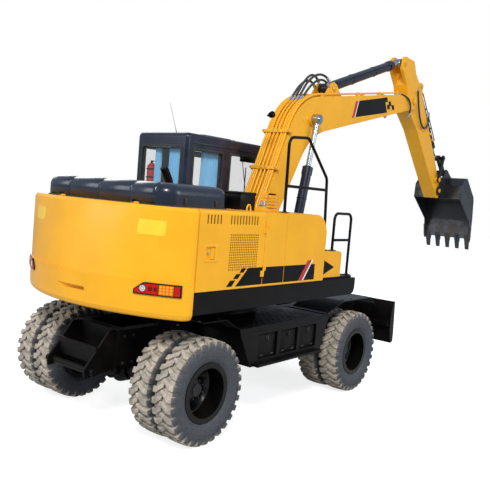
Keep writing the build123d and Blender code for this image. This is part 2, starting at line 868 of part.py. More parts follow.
def cross_hinge_half(y, reach):
    # a barrel on the hood's axis with a flat leaf that reaches forwards or back from it
    pin(hood_hinge, hinge_radius, y + knuckle, y)
    low, high = (hood_hinge[1] - 14, hood_hinge[1] - 4) if reach < 0 else (hood_hinge[1] - 4, hood_hinge[1] + 4)
    box((hood_hinge[0], hood_hinge[0] + reach), (y, y + knuckle), (low, high))


weight_corner = 85
crown_roll = 30
base_roll = 50
slot_low = 1430
slot_height = 36

with BuildPart() as counterweight:
    with BuildSketch(Plane.XY.offset(weight_bottom + base_roll)) as low:
        tail_outline(tail_x, body_half)
        fillet([v for v in low.vertices() if v.X < weight_front - 10], weight_corner)
    extrude(amount=band_top - weight_bottom - base_roll)
    # four lofts: the rolled bottom edge, the leaning back, then the rolled top edge
    # columns: low Z, high Z, then steps in from the tail and from the sides, low and high
    for low_z, high_z, low_back, high_back, low_half, high_half in (
        (weight_bottom, weight_bottom + base_roll * 0.3, base_roll * 0.7, base_roll * 0.3, base_roll * 0.7, base_roll * 0.3),
        (weight_bottom + base_roll * 0.3, weight_bottom + base_roll, base_roll * 0.3, 0, base_roll * 0.3, 0),
        (band_top, body_top - crown_roll, crease_step, crease_step + lean, 4, 4),
        (body_top - crown_roll, body_top, crease_step + lean, crease_step + lean + crown_roll, 4, 4 + crown_roll),
    ):
        for z, back, inset in ((low_z, low_back, low_half), (high_z, high_back, high_half)):
            with BuildSketch(Plane.XY.offset(z)) as ring:
                tail_outline(tail_x + back, body_half - inset)
                fillet([v for v in ring.vertices() if v.X < weight_front - 10], weight_corner)
        loft()
    # a wedge-shaped slot in the bumper band
    with BuildSketch(Plane.XY.offset(slot_low)):
        Polygon((tail_x - 10, 170), (tail_x + 12, 170), (tail_x + 75, -230), (tail_x - 10, -230), align=None)
    extrude(amount=slot_height, mode=Mode.SUBTRACT)
    for y in hood_hinge_ys:
        cross_hinge_half(y, -leaf_reach)
save(counterweight, "counterweight")

# Tail lamps on the bumper band, one on each side, with a slanted inner end
lamp_high = band_top - seat_gap
lamp_low = lamp_high - 115
lamp_inner = 780
lamp_outer = 1190
lamp_rim = 12
with BuildPart() as tail_lamps:
    # columns: inner radius, outer radius, low Z, high Z, inner Y, outer Y
    for inner, outer, low, high, near, far in (
        (tail_radius + 2 * seat_gap, tail_radius + 12, lamp_low, lamp_high, lamp_inner, lamp_outer),
        (tail_radius + 11, tail_radius + 17, lamp_low + lamp_rim, lamp_high - lamp_rim, 820, 905),
        (tail_radius + 11, tail_radius + 17, lamp_low + lamp_rim, lamp_high - lamp_rim, 911, 1010),
        (tail_radius + 11, tail_radius + 17, lamp_low + lamp_rim, lamp_high - lamp_rim, 1016, 1178),
    ):
        with BuildSketch(Plane.XY.offset(low)) as segment:
            with Locations((swing_x, 0)):
                Circle(outer)
                Circle(inner, mode=Mode.SUBTRACT)
            middle = (near + far) / 2
            with Locations((rear_x - 600, middle), (rear_x - 600, -middle)):
                Rectangle(900, far - near, mode=Mode.INTERSECT)
        extrude(to_extrude=segment.sketch, amount=high - low)
    for turn in (1, -1):
        with BuildSketch(Plane.YZ.offset(tail_x)) as corner:
            Polygon(
                (turn * (lamp_inner - 5), lamp_low + 45),
                (turn * (lamp_inner - 5), lamp_high + 5),
                (turn * (lamp_inner + 85), lamp_high + 5),
                align=None,
            )
        extrude(to_extrude=corner.sketch, amount=900, mode=Mode.SUBTRACT)
save(tail_lamps, "tail_lamps")

# Body panels between the counterweight and the tank and cab
top_plate_low = 2270
panel_low = skirt_top + seam
door_front = rear_x + 694
panel_front = rear_x + 1077
bulkhead_x = rear_x + 950
door_axis_x = door_front + seam / 2
door_hinges = (1640, 2090)
rail_in = 1197

with BuildPart() as house_panels:
    box((deck_rear, rear_x + 975), (-rail_in, rail_in), (top_plate_low, body_top))
    box((rear_x - 250, rear_x + 400), (-800, 800), (top_plate_low - 5, body_top + 5), mode=Mode.SUBTRACT)
    box((bulkhead_x, rear_x + 975), (-rail_in + 2, rail_in), (deck_top + seat_gap, top_plate_low + 2))
    # the fixed panels ahead of the engine doors, with their halves of the hinges
    for turn in (1, -1):
        box((door_front + seam, panel_front), (turn * (rail_in - 5), turn * body_half), (panel_low, body_top))
        box((bulkhead_x, panel_front), (turn * 640, turn * rail_in), (top_plate_low, body_top))
        for low in door_hinges:
            low += knuckle + seat_gap
            hinge_half(door_axis_x, turn * hinge_y, low, door_axis_x + 40, turn * (body_half - 5))
    # corner posts down to the deck
    for turn in (1, -1):
        box((deck_rear + 4, deck_rear + 44), (turn * 1140, turn * rail_in), (deck_top + seat_gap, top_plate_low + 2))
    # the air cleaner's box ahead of the hood
    box((rear_x + 600, rear_x + 850), (-950, -650), (body_top - 5, body_top + 190))
save(house_panels, "house_panels")

# Engine as one block on four feet, with the exhaust stack through the top plate
with BuildPart() as engine_block:
    box((rear_x - 230, rear_x + 900), (-520, 330), (deck_top + 80, 2150))
    for x in (-180, 780):
        for y in (-450, 230):
            box((rear_x + x, rear_x + x + 80), (y, y + 80), (deck_top + seat_gap, deck_top + 90))
save(engine_block, "engine_block")

exhaust_radius = 48
with BuildPart() as exhaust:
    with BuildLine() as path:
        FilletPolyline(
            (rear_x + 820, 330, body_top + seat_gap),
            (rear_x + 820, 330, body_top + 240),
            (rear_x + 710, 330, body_top + 405),
            radius=120,
        )
    with BuildSketch(Plane(path.line @ 0, z_dir=path.line % 0)):
        Circle(exhaust_radius)
    sweep()
save(exhaust, "exhaust")

# Engine hood, a hollow cover hinged at its rear edge
hood_half = 950
hood_top = 2515
hood_shell = 25
hood_base = body_top + seat_gap


def hood_block(inset):
    middle = (hood_rear + hood_front) / 2
    with BuildPart() as block:
        with BuildSketch(Plane.XY.offset(hood_base)):
            with Locations((middle, 0)):
                RectangleRounded(hood_front - hood_rear - 2 * inset, 2 * hood_half - 2 * inset, 180 - inset)
        extrude(amount=hood_top - hood_base - inset)
        fillet(block.faces().sort_by(Axis.Z)[-1].edges(), 100 - inset)
    return block.part


with BuildPart() as hood:
    add(hood_block(0))
    add(hood_block(hood_shell), mode=Mode.SUBTRACT)
    for y in hood_hinge_ys:
        cross_hinge_half(y + knuckle + seat_gap, 20)
save(hood, "hood")

# Side doors of the engine bay, hinged at their front edges
door_plate = 38
louvre_low = 2172
louvre_high = 2258
louvre_pitch = 46
louvre_width = 20
grille_x = (138, 590)
grille_z = (1715, 2078)
grille_pitch = 53
grille_hole = 34
latch_x = (-205, -75)
latch_z = (1830, 1958)


def door_block(x, z, depth, mode=Mode.SUBTRACT):
    # a block reaching in from the right door's outer face; x counts from the rear axle
    box((rear_x + x[0], rear_x + x[1]), (-body_half - 1, depth - body_half - 1), z, mode=mode)


with BuildPart() as door_right:
    door_rear = deck_rear + seam
    box((door_rear, door_front), (door_plate - body_half, -body_half), (panel_low, body_top))
    outer_top = door_right.edges().filter_by(Axis.X).sort_by(lambda e: -e.center().Z - abs(e.center().Y))[0]
    fillet(outer_top, 30)
    with BuildSketch(side(-body_half - 1)) as louvres:
        # columns: middle X of the row from the rear axle, number of slots
        for middle, count in ((-113, 5), (342, 10)):
            with Locations((rear_x + middle, (louvre_low + louvre_high) / 2)):
                with GridLocations(louvre_pitch, 1, count, 1):
                    Rectangle(louvre_width, louvre_high - louvre_low)
    extrude(to_extrude=louvres.sketch, amount=-door_plate - 2, mode=Mode.SUBTRACT)
    # a perforated sheet set into a window
    door_block(grille_x, grille_z, door_plate + 2)
    with BuildSketch(side(14 - body_half)) as sheet:
        with Locations((rear_x + sum(grille_x) / 2, sum(grille_z) / 2)):
            Rectangle(grille_x[1] - grille_x[0] + 4, grille_z[1] - grille_z[0] + 4)
            with GridLocations(grille_pitch, grille_pitch, 8, 6):
                Rectangle(grille_hole, grille_hole, mode=Mode.SUBTRACT)
    extrude(to_extrude=sheet.sketch, amount=5, both=True)
    # the latch's pocket with its flap and lock
    door_block(latch_x, latch_z, 12)
    door_block((latch_x[1] - 55, latch_x[1] - 10), (latch_z[0] + 10, latch_z[1] - 10), 13, Mode.ADD)
    pin((rear_x + latch_x[0] + 40, sum(latch_z) / 2), 9, 14 - body_half, 4 - body_half)
    for low in door_hinges:
        hinge_half(door_axis_x, -hinge_y, low, door_axis_x - 40, 5 - body_half)
save(door_right, "door_right")

with BuildPart() as door_left:
    add(door_right.part)
    mirror(about=Plane.XZ, mode=Mode.REPLACE)
save(door_left, "door_left")

# Tanks: hydraulic between the boom and the engine, fuel on the right
tank_front = rear_x + 1905
with BuildPart() as tanks:
    box((rear_x + 975 + seam, rear_x + 1465), (-626, 330), (deck_top + seat_gap, 2240))
    slab(
        [
            (panel_front + seam, panel_low),
            (tank_front, panel_low),
            (tank_front, 2305),
            (panel_front + seam, 2305),
        ],
        -640,
        -body_half,
        rounds=((2, 240),),
    )
    box((panel_front + seam, tank_front - 60), (-1190, -650), (deck_top + seat_gap, panel_low + 5))
save(tanks, "tanks")

# Step box and handrails on the right
step_front = rear_x + 2370
step_top = 1870
rail_tube = 17
with BuildPart() as step_box:
    slab(
        [
            (tank_front + seam, platform_top + seat_gap),
            (step_front, platform_top + seat_gap),
            (step_front, step_top),
            (tank_front + seam, step_top),
        ],
        -550,
        -1200,
        rounds=((2, 60),),
    )
save(step_box, "step_box")


def rail(points, y, bend):
    # a bent tube in a side plane
    with BuildLine() as path:
        FilletPolyline(*[(x, y, z) for x, z in points], radius=bend)
    with BuildSketch(Plane(path.line @ 0, z_dir=path.line % 0)) as ring:
        Circle(rail_tube)
    sweep(sections=ring.sketch, path=path.line)


rail_flange = 8

with BuildPart() as handrails:
    # columns: foot X, Y, level it stands on
    for x, y, level in (
        (rear_x + 1200, -1100, 2305),
        (rear_x + 2078, -1100, step_top),
        (rear_x + 2240, -1130, step_top),
        (rear_x + 2650, -1130, platform_top),
    ):
        box((x - 45, x + 45), (y - 35, y + 35), (level + seat_gap, level + rail_flange))
    rail(
        [
            (rear_x + 1200, 2305 + rail_flange - 2),
            (rear_x + 1180, 3130),
            (rear_x + 1558, 3165),
            (rear_x + 2023, 2737),
            (rear_x + 2078, 2105),
            (rear_x + 2078, step_top + rail_flange - 2),
        ],
        -1100,
        90,
    )
    bar((rear_x + 1193, 2600), (rear_x + 2033, 2600), rail_tube, -1100)
    rail(
        [
            (rear_x + 2240, step_top + rail_flange - 2),
            (rear_x + 2240, 2330),
            (rear_x + 2650, 2330),
            (rear_x + 2650, platform_top + rail_flange - 2),
        ],
        -1130,
        80,
    )
    bar((rear_x + 2240, 2000), (rear_x + 2650, 2000), rail_tube, -1130)
save(handrails, "handrails")

# Cab: a hollow shell with window and door openings
cab_rear = rear_x + 1092
cab_front = rear_x + 2690
cab_right = 350
cab_left = 1240
cab_floor = deck_top + seat_gap
cab_roof = 3170
cab_wall = 50
pane = 8
sill = 1950
lintel = 2980
# Side windows; columns: rear X, front X, sill Z, head Z, whether on the right
side_windows = [
    (rear_x + 1220, rear_x + 1780, sill, lintel, True),
    (rear_x + 1930, rear_x + 2580, sill, lintel, True),
    (rear_x + 1210, rear_x + 1545, sill, lintel, False),
]
# End windows; columns: wall's outer X, inward direction, right Y, left Y, sill Z, head Z
end_windows = [
    (cab_rear, 1, 440, 1150, 2050, 3000),
    (cab_front, -1, 430, 1160, 1750, 3030),
]
door_rear_x = rear_x + 1620
door_front_x = rear_x + 2620
door_sill = 1470
door_head = 3030
cab_axis_x = door_rear_x + 3
cab_hinges = (1600, 2780)

with BuildPart() as cab_shell:
    slab(
        [(cab_rear, cab_floor), (cab_front, cab_floor), (cab_front, cab_roof), (cab_rear, cab_roof)],
        cab_right,
        cab_left,
        rounds=((2, 130), (3, 60)),
    )
    roof_edges = cab_shell.edges().filter_by(Axis.X).group_by(Axis.Z)[-1]
    fillet(roof_edges, 45)
    box(
        (cab_rear + cab_wall, cab_front - cab_wall),
        (cab_right + cab_wall, cab_left - cab_wall),
        (cab_floor + cab_wall, cab_roof - cab_wall),
        mode=Mode.SUBTRACT,
    )
    for start, end, low, high, on_right in side_windows:
        wall = (cab_right - 5, cab_right + cab_wall + 5) if on_right else (cab_left - cab_wall - 5, cab_left + 5)
        box((start, end), wall, (low, high), mode=Mode.SUBTRACT)
    for x, inward, right, left, low, high in end_windows:
        box((x - 5 * inward, x + (cab_wall + 5) * inward), (right, left), (low, high), mode=Mode.SUBTRACT)
    box((door_rear_x, door_front_x), (cab_left - cab_wall - 5, cab_left + 5), (door_sill, door_head), mode=Mode.SUBTRACT)
    for low in cab_hinges:
        low += knuckle + seat_gap
        hinge_half(cab_axis_x, hinge_y, low, cab_axis_x - 40, cab_left - 5)

# The roof is a pressing of its own, seated on the walls
roof_seam = cab_roof - 130
with BuildPart() as cab_walls:
    add(cab_shell.part)
    split(bisect_by=Plane.XY.offset(roof_seam), keep=Keep.BOTTOM)
save(cab_walls, "cab_shell")

with BuildPart() as cab_top:
    add(cab_shell.part)
    split(bisect_by=Plane.XY.offset(roof_seam + seat_gap), keep=Keep.TOP)
save(cab_top, "cab_roof")

pane_inset = 20
with BuildPart() as cab_glass:
    for start, end, low, high, on_right in side_windows:
        wall_y = cab_right + pane_inset if on_right else cab_left - pane_inset - pane
        box(
            (start + seat_gap, end - seat_gap),
            (wall_y, wall_y + pane),
            (low + seat_gap, high - seat_gap),
        )
    for x, inward, right, left, low, high in end_windows:
        box(
            (x + pane_inset * inward, x + (pane_inset + pane) * inward),
            (right + seat_gap, left - seat_gap),
            (low + seat_gap, high - seat_gap),
        )
save(cab_glass, "cab_glass")

door_gap = 6
door_frame = 70
with BuildPart() as cab_door:
    box(
        (door_rear_x + door_gap, door_front_x - door_gap),
        (cab_left - 44, cab_left - 4),
        (door_sill + door_gap, door_head - door_gap),
    )
    box(
        (door_rear_x + door_frame, door_front_x - door_frame),
        (cab_left - 50, cab_left + 5),
        (1700, door_head - door_frame),
        mode=Mode.SUBTRACT,
    )
    for low in cab_hinges:
        hinge_half(cab_axis_x, hinge_y, low, cab_axis_x + 40, cab_left - 8)
save(cab_door, "cab_door")

with BuildPart() as door_glass:
    box(
        (door_rear_x + door_frame + seat_gap, door_front_x - door_frame - seat_gap),
        (cab_left - 30, cab_left - 22),
        (1700 + seat_gap, door_head - door_frame - seat_gap),
    )
save(door_glass, "door_glass")

# Seat with its consoles
seat_y = 800
seat_x = rear_x + 1700
floor_top = cab_floor + cab_wall + seat_gap
with BuildPart() as seat:
    box((seat_x + 60, seat_x + 420), (seat_y - 180, seat_y + 180), (floor_top, 1760))
    slab(
        [
            (seat_x - 20, 1755),
            (seat_x + 500, 1755),
            (seat_x + 510, 1880),
            (seat_x + 90, 1870),
            (seat_x - 40, 2500),
            (seat_x - 170, 2480),
        ],
        seat_y - 250,
        seat_y + 250,
        rounds=((2, 40), (3, 60), (4, 40), (5, 50)),
    )
    slab(
        [(seat_x - 130, 2470), (seat_x - 45, 2485), (seat_x - 85, 2690), (seat_x - 165, 2675)],
        seat_y - 130,
        seat_y + 130,
        rounds=((2, 30), (3, 30)),
    )
    for y in (seat_y - 345, seat_y + 255):
        box((seat_x + 20, seat_x + 520), (y, y + 90), (1700, 2010))
    box((seat_x + 80, seat_x + 400), (seat_y - 340, seat_y + 340), (1640, 1750))
save(seat, "seat")

# Boom: a bent box beam with a forked tip
foot_pin_radius = 45
tip_pin_radius = 40
fork_inner = arm_half + moving_gap
boom_boss = 95
arm_lug_inner = 104
arm_lug = 28
arm_base_radius = 34


def from_foot(*points):
    return [beyond(foot_pin, point) for point in points]


def from_tip(*points):
    return [beyond(tip_pin, point) for point in points]


def from_bucket(*points):
    return [beyond(bucket_pin, point) for point in points]


with BuildPart() as boom:
    slab(
        from_foot((-119.5, 51.2), boom_bend_back, (4286, 2775), (4342, 2527), boom_bend_belly, (113.7, -63)),
        boom_half,
        -boom_half,
        rounds=((1, boom_back_round), (4, boom_belly_round)),
    )
    pin(foot_pin, boom_foot_radius, boom_half, -boom_half)
    pin(tip_pin, boom_tip_radius, boom_half, -boom_half)
    pin(boom_rod_pin, boom_boss, boom_half + 26, -boom_half - 26)
    # the slot that the arm's boss and back edge swing through
    slab(
        from_tip((-268, 260), (-268, -5), (-530, -290), (-530, -460), (320, -460), (320, 260)),
        fork_inner,
        -fork_inner,
        mode=Mode.SUBTRACT,
    )
    pin(tip_pin, tip_pin_radius, boom_half + 18, -boom_half - 18)
    pin(foot_pin, foot_pin_radius + pin_gap, boom_half + 5, -boom_half - 5, mode=Mode.SUBTRACT)
    for turn in (1, -1):
        slab(
            from_foot((1380, 2180), (1590, 2470), (1670, 2505), (1745, 2480), (1940, 2300)),
            turn * arm_lug_inner,
            turn * (arm_lug_inner + arm_lug),
        )
    pin(arm_base_pin, arm_base_radius, arm_lug_inner + arm_lug + 8, -arm_lug_inner - arm_lug - 8)
save(boom, "boom")

# Hard pipes along the boom's back, in clamps
back_along = (0.394, 0.919)
pipe_rise = 32
pipe_radius = 12
pipe_start = beyond(foot_pin, (-119.5 + back_along[0] * 520 - pipe_rise * 0.919, 51.2 + 478 + pipe_rise * 0.394))
pipe_corner = beyond(foot_pin, (775 - 22.6, 2139 + 28.4))
top_slope = (4286 - 775, 2775 - 2139)


def on_top(x, rise):
    # a point above the boom's straight upper back, x from the foot pin
    return beyond(foot_pin, (x, 2139 + (x - 775) * top_slope[1] / top_slope[0] + rise * 1.016))


with BuildPart() as boom_pipes:
    for y, end in ((-158, 3700), (-125, 1330), (-92, 1330), (92, 1330), (125, 1330), (158, 3700)):
        with BuildLine() as path:
            FilletPolyline(
                (pipe_start[0], y, pipe_start[1]),
                (pipe_corner[0], y, pipe_corner[1]),
                (on_top(end, pipe_rise)[0], y, on_top(end, pipe_rise)[1]),
                radius=boom_back_round + pipe_rise,
            )
        with BuildSketch(Plane(path.line @ 0, z_dir=path.line % 0)):
            Circle(pipe_radius)
        sweep()
    # clamps: one block under and over the pipes at each station
    for x, half in ((1290, 174), (2300, 174), (3000, 174), (3640, 174)):
        for turn in (1, -1):
            inner = 78 if x < 1400 else 142
            slab(
                [on_top(x, seat_gap), on_top(x + 40, seat_gap), on_top(x + 40, 50), on_top(x, 50)],
                turn * inner,
                turn * half,
            )
    low_back = beyond(foot_pin, (-119.5, 51.2))
    high_back = beyond(foot_pin, boom_bend_back)
    for along in (560, 1150):
        for turn in (1, -1):
            start = toward(low_back, high_back, along)
            end = toward(low_back, high_back, along + 40)
            slab(
                [
                    beside(start, high_back, seat_gap),
                    beside(end, high_back, seat_gap),
                    beside(end, high_back, 50),
                    beside(start, high_back, 50),
                ],
                turn * 78,
                turn * 174,
            )
save(boom_pipes, "boom_pipes")

# Boom cylinders, one on each side
boom_eye = (72, cylinder_eye_half)
with BuildPart() as boom_barrels:
    for turn in (1, -1):
        y = turn * boom_cylinder_y
        barrel(boom_base_pin, boom_rod_pin, y, barrel_radius, rod_radius, boom_eye, 38, 130, 1420)
save(boom_barrels, "boom_barrels")

with BuildPart() as boom_rods:
    for turn in (1, -1):
        y = turn * boom_cylinder_y
        rod_and_eye(boom_base_pin, boom_rod_pin, y, rod_radius, 720, (70, 46))
        pin(boom_rod_pin, 40, turn * (boom_cylinder_y - 46), turn * (boom_cylinder_y + 64))
save(boom_rods, "boom_rods")

# Arm cylinder above the boom
arm_barrel_radius = 75
arm_rod_radius = 42
with BuildPart() as arm_barrel:
    arm_eye = (74, arm_lug_inner - moving_gap)
    barrel(arm_base_pin, arm_rod_pin, 0, arm_barrel_radius, arm_rod_radius, arm_eye, arm_base_radius, 300, 2100)
save(arm_barrel, "arm_barrel")

with BuildPart() as arm_rod:
    rod_and_eye(arm_base_pin, arm_rod_pin, 0, arm_rod_radius, 950, (62, 58))
save(arm_rod, "arm_rod")

# Arm: a box beam with twin ears at the back and lugs for the bucket cylinder
ear_inner = 78
bucket_lug_inner = 76
bucket_lug = 26
curl_pin_radius = 30
rocker_pin_radius = 32
bucket_pin_radius = 40
rocker_inner = 175
rocker_plate = 25

with BuildPart() as arm:
    slab(
        from_tip(
            (-410, 710),
            (-30, 700),
            (90, 500),
            (290, 350),
            (1380, -1000),
            (1680, -1450),
            (1680, -1630),
            (1570, -1636),
            (938, -1041),
            (333, -442),
            (-47, -181),
            (-244, 258),
            (-460, 480),
        ),
        arm_half,
        -arm_half,
        rounds=((6, 60), (7, 40), (0, 50)),
    )
    pin(tip_pin, 120, arm_half, -arm_half)
    # room between the ears for the arm cylinder's eye and rod
    slab(
        from_tip((-760, 800), (-190, 800), (-225, 480), (-244, 258), (-320, 150), (-760, 150)),
        ear_inner,
        -ear_inner,
        mode=Mode.SUBTRACT,
    )
    for turn in (1, -1):
        slab(
            from_tip((180, 380), (385, 402), (440, 405), (490, 360), (485, 290), (560, -20), (440, 0)),
            turn * bucket_lug_inner,
            turn * (bucket_lug_inner + bucket_lug),
        )
        pin(arm_rod_pin, 62, turn * (arm_half - 5), turn * (arm_half + 16))
        pin(rocker_pin, 50, turn * (arm_half - 5), turn * (rocker_inner - 6))
    pin(curl_base_pin, curl_pin_radius, bucket_lug_inner + bucket_lug + 8, -bucket_lug_inner - bucket_lug - 8)
    pin(rocker_pin, rocker_pin_radius, rocker_inner + rocker_plate + 8, -rocker_inner - rocker_plate - 8)
    pin(bucket_pin, bucket_pin_radius, 174, -174)
    pin(tip_pin, tip_pin_radius + pin_gap, arm_half + 5, -arm_half - 5, mode=Mode.SUBTRACT)
save(arm, "arm")

# Bucket cylinder on the arm's front
with BuildPart() as bucket_barrel:
    curl_eye = (60, bucket_lug_inner - moving_gap)
    barrel(curl_base_pin, curl_rod_pin, 0, 64, 34, curl_eye, curl_pin_radius, 300, 1390)
save(bucket_barrel, "bucket_barrel")

with BuildPart() as bucket_rod:
    rod_and_eye(curl_base_pin, curl_rod_pin, 0, 34, 600, (55, 48))
save(bucket_rod, "bucket_rod")


def strap(start, end, radius, y_left, y_right):
    # a flat link between two pins
    pin(start, radius, y_left, y_right)
    pin(end, radius, y_left, y_right)
    slab(
        [
            beside(start, end, radius),
            beside(start, end, -radius),
            beside(end, start, radius),
            beside(end, start, -radius),
        ],
        y_left,
        y_right,
    )


# Rocker plates outside the arm, each with its stub of the split pin
rocker_outer = rocker_inner + rocker_plate
link_inner = 64
link_outer = 118
with BuildPart() as rocker:
    for turn in (1, -1):
        strap(rocker_pin, curl_rod_pin, 56, turn * rocker_inner, turn * rocker_outer)
        pin(curl_rod_pin, 30, turn * (link_inner - 2), turn * (rocker_outer + 8))
        pin(rocker_pin, rocker_pin_radius + pin_gap, turn * 165, turn * 230, mode=Mode.SUBTRACT)
save(rocker, "rocker")

with BuildPart() as bucket_link:
    for turn in (1, -1):
        strap(curl_rod_pin, link_pin, 54, turn * link_inner, turn * link_outer)
        pin(curl_rod_pin, 30 + pin_gap, turn * (link_inner - 5), turn * (link_outer + 5), mode=Mode.SUBTRACT)
    pin(link_pin, 58, 128, -128)
save(bucket_link, "bucket_link")

# Bucket: a rolled shell between side plates, with ears, a lip and five teeth
bucket_shell = 16
bucket_ear = 140
bucket_ear_plate = 26
tooth_pitch = 211.5
shell_line = [(305, -130), (325, 130), (480, 280), (600, 300), (1060, -60), (1090, -160), (1130, -560), (1110, -860)]

with BuildPart() as bucket:
    slab(from_bucket(*shell_line, (1040, -900), (950, -575), (310, -135)), bucket_half, -bucket_half)
    with BuildSketch(side(bucket_half - 20)) as hollow:
        with BuildLine():
            Polyline(*from_bucket((245, -910), *shell_line[1:-1], (1080, -1310)), close=True)
        make_face()
        offset(amount=-bucket_shell, kind=Kind.INTERSECTION, mode=Mode.REPLACE)
    extrude(amount=2 * bucket_half - 40, mode=Mode.SUBTRACT)
    # the thick lip and its teeth
    slab(from_bucket((1090, -690), (1132, -690), (1128, -935), (1072, -915)), bucket_half, -bucket_half)
    for number in range(-2, 3):
        y = number * tooth_pitch
        slab(
            from_bucket((1066, -860), (1140, -840), (1166, -980), (1180, -1160), (1164, -1158), (1085, -1000)),
            y - 38,
            y + 38,
        )
    for turn in (1, -1):
        slab(
            from_bucket(
                (-70, -60),
                (40, -95),
                (308, -125),
                (328, 125),
                (484, 276),
                (560, 290),
                (330, 425),
                (265, 440),
                (215, 410),
            ),
            turn * bucket_ear,
            turn * (bucket_ear + bucket_ear_plate),
        )
        pin(bucket_pin, 85, turn * bucket_ear, turn * (bucket_ear + bucket_ear_plate))
        pin(link_pin, 62, turn * bucket_ear, turn * (bucket_ear + bucket_ear_plate + 4))
        pin(bucket_pin, bucket_pin_radius + pin_gap, turn * 130, turn * 180, mode=Mode.SUBTRACT)
        # side cutters
        slab(
            from_bucket((985, -700), (1010, -690), (1105, -930), (1080, -985), (1035, -925)),
            turn * (bucket_half - 22),
            turn * (bucket_half + 14),
        )
save(bucket, "bucket")
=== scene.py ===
import bpy, bmesh
from math import pi, radians, sin, cos, tan, hypot, sqrt
from mathutils import Matrix, Vector


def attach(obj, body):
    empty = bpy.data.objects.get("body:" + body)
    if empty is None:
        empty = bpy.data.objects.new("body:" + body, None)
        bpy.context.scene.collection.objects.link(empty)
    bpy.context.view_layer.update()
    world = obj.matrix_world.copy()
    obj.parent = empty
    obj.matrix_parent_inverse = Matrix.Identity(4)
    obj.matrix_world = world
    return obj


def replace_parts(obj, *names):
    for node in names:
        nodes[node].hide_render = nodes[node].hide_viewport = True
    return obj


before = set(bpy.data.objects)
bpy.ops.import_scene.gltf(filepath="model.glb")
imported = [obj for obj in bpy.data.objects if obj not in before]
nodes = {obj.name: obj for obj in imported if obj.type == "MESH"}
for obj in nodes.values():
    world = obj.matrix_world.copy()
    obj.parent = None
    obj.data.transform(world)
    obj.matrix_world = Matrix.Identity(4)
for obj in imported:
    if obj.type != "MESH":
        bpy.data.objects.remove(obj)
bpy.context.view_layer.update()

# The wheelbase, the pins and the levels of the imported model, in metres
rearX = -4.100
frontX = rearX + 2.920
swingX = rearX + 1.350
footPin = (swingX + 0.550, 1.700)
tipPin = (footPin[0] + 4.310, footPin[1] + 2.650)
bucketPin = (tipPin[0] + 1.600, tipPin[1] - 1.490)
tyreRadius = 0.525
tyreY = 1.106
twinPitch = 0.320


def beyond(start, step):
    return (start[0] + step[0], start[1] + step[1])


def ahead(*steps):
    # X values that lie the given distances in front of the rear axle
    return tuple(rearX + step for step in steps)


def around(count, shift=0.0):
    # equal angles round a circle
    return [2 * pi * (step + shift) / count for step in range(count)]


def addObject(name, data):
    thing = bpy.data.objects.new(name, data)
    bpy.context.scene.collection.objects.link(thing)
    return thing


# Camera
def aim(location, yaw, pitch, roll):
    forward = Vector((cos(pitch) * cos(yaw), cos(pitch) * sin(yaw), sin(pitch)))
    right = forward.cross(Vector((0, 0, 1))).normalized()
    up = right.cross(forward)
    turnedRight = right * cos(roll) + up * sin(roll)
    turnedUp = up * cos(roll) - right * sin(roll)
    matrix = Matrix((turnedRight, turnedUp, -forward)).transposed().to_4x4()
    matrix.translation = location
    return matrix


picturePixels = 490
focalPixels = 648.03
cameraPlace = (-4.674 + rearX, -5.203, 2.465)
cameraAngles = (38.161, -4.412, 4.722)
cameraData = bpy.data.cameras.new("camera")
cameraData.sensor_width = 36
cameraData.lens = focalPixels / picturePixels * cameraData.sensor_width
cameraData.clip_end = 200
camera = addObject("camera", cameraData)
camera.matrix_world = aim(cameraPlace, *(radians(angle) for angle in cameraAngles))
bpy.context.scene.camera = camera
bpy.context.scene.view_settings.view_transform = "Standard"


# Materials
def feed(tree, socket, value):
    # a number or colour sets the socket, and another node's output is linked to it
    if isinstance(value, tuple):
        socket.default_value = (*value, 1)
    elif isinstance(value, (int, float)):
        socket.default_value = value
    else:
        tree.links.new(value, socket)


def startMaterial(name):
    material = bpy.data.materials.new(name)
    material.use_nodes = True
    tree = material.node_tree
    tree.nodes.clear()
    output = tree.nodes.new("ShaderNodeOutputMaterial")
    shader = tree.nodes.new("ShaderNodeBsdfPrincipled")
    tree.links.new(shader.outputs[0], output.inputs[0])
    place = tree.nodes.new("ShaderNodeTexCoord")
    return material, tree, shader, place.outputs["Object"]


def dress(tree, shader, colour, rough, **levels):
    levels = {"Base_Color": colour, "Roughness": rough, **levels}
    for name, value in levels.items():
        feed(tree, shader.inputs[name.replace("_", " ")], value)


def noise(tree, place, scale, detail=4, stretch=None):
    node = tree.nodes.new("ShaderNodeTexNoise")
    node.inputs["Scale"].default_value = scale
    node.inputs["Detail"].default_value = detail
    if stretch:
        mapping = tree.nodes.new("ShaderNodeMapping")
        mapping.inputs["Scale"].default_value = stretch
        tree.links.new(place, mapping.inputs[0])
        place = mapping.outputs[0]
    tree.links.new(place, node.inputs["Vector"])
    return node.outputs[0]


def ramp(tree, value, low, high, start=0.0, end=1.0):
    node = tree.nodes.new("ShaderNodeMapRange")
    for name, level in (("From Min", low), ("From Max", high), ("To Min", start), ("To Max", end), ("Value", value)):
        feed(tree, node.inputs[name], level)
    return node.outputs[0]


def math(tree, operation, a, b=0.5):
    node = tree.nodes.new("ShaderNodeMath")
    node.operation = operation
    node.use_clamp = operation in ("ADD", "MULTIPLY")
    feed(tree, node.inputs[0], a)
    feed(tree, node.inputs[1], b)
    return node.outputs[0]


def plus(tree, a, b):
    return math(tree, "ADD", a, b)


def times(tree, a, b):
    return math(tree, "MULTIPLY", a, b)


def mix(tree, factor, a, b):
    node = tree.nodes.new("ShaderNodeMix")
    node.data_type = "RGBA"
    for socket, value in ((0, factor), (6, a), (7, b)):
        feed(tree, node.inputs[socket], value)
    return node.outputs[2]


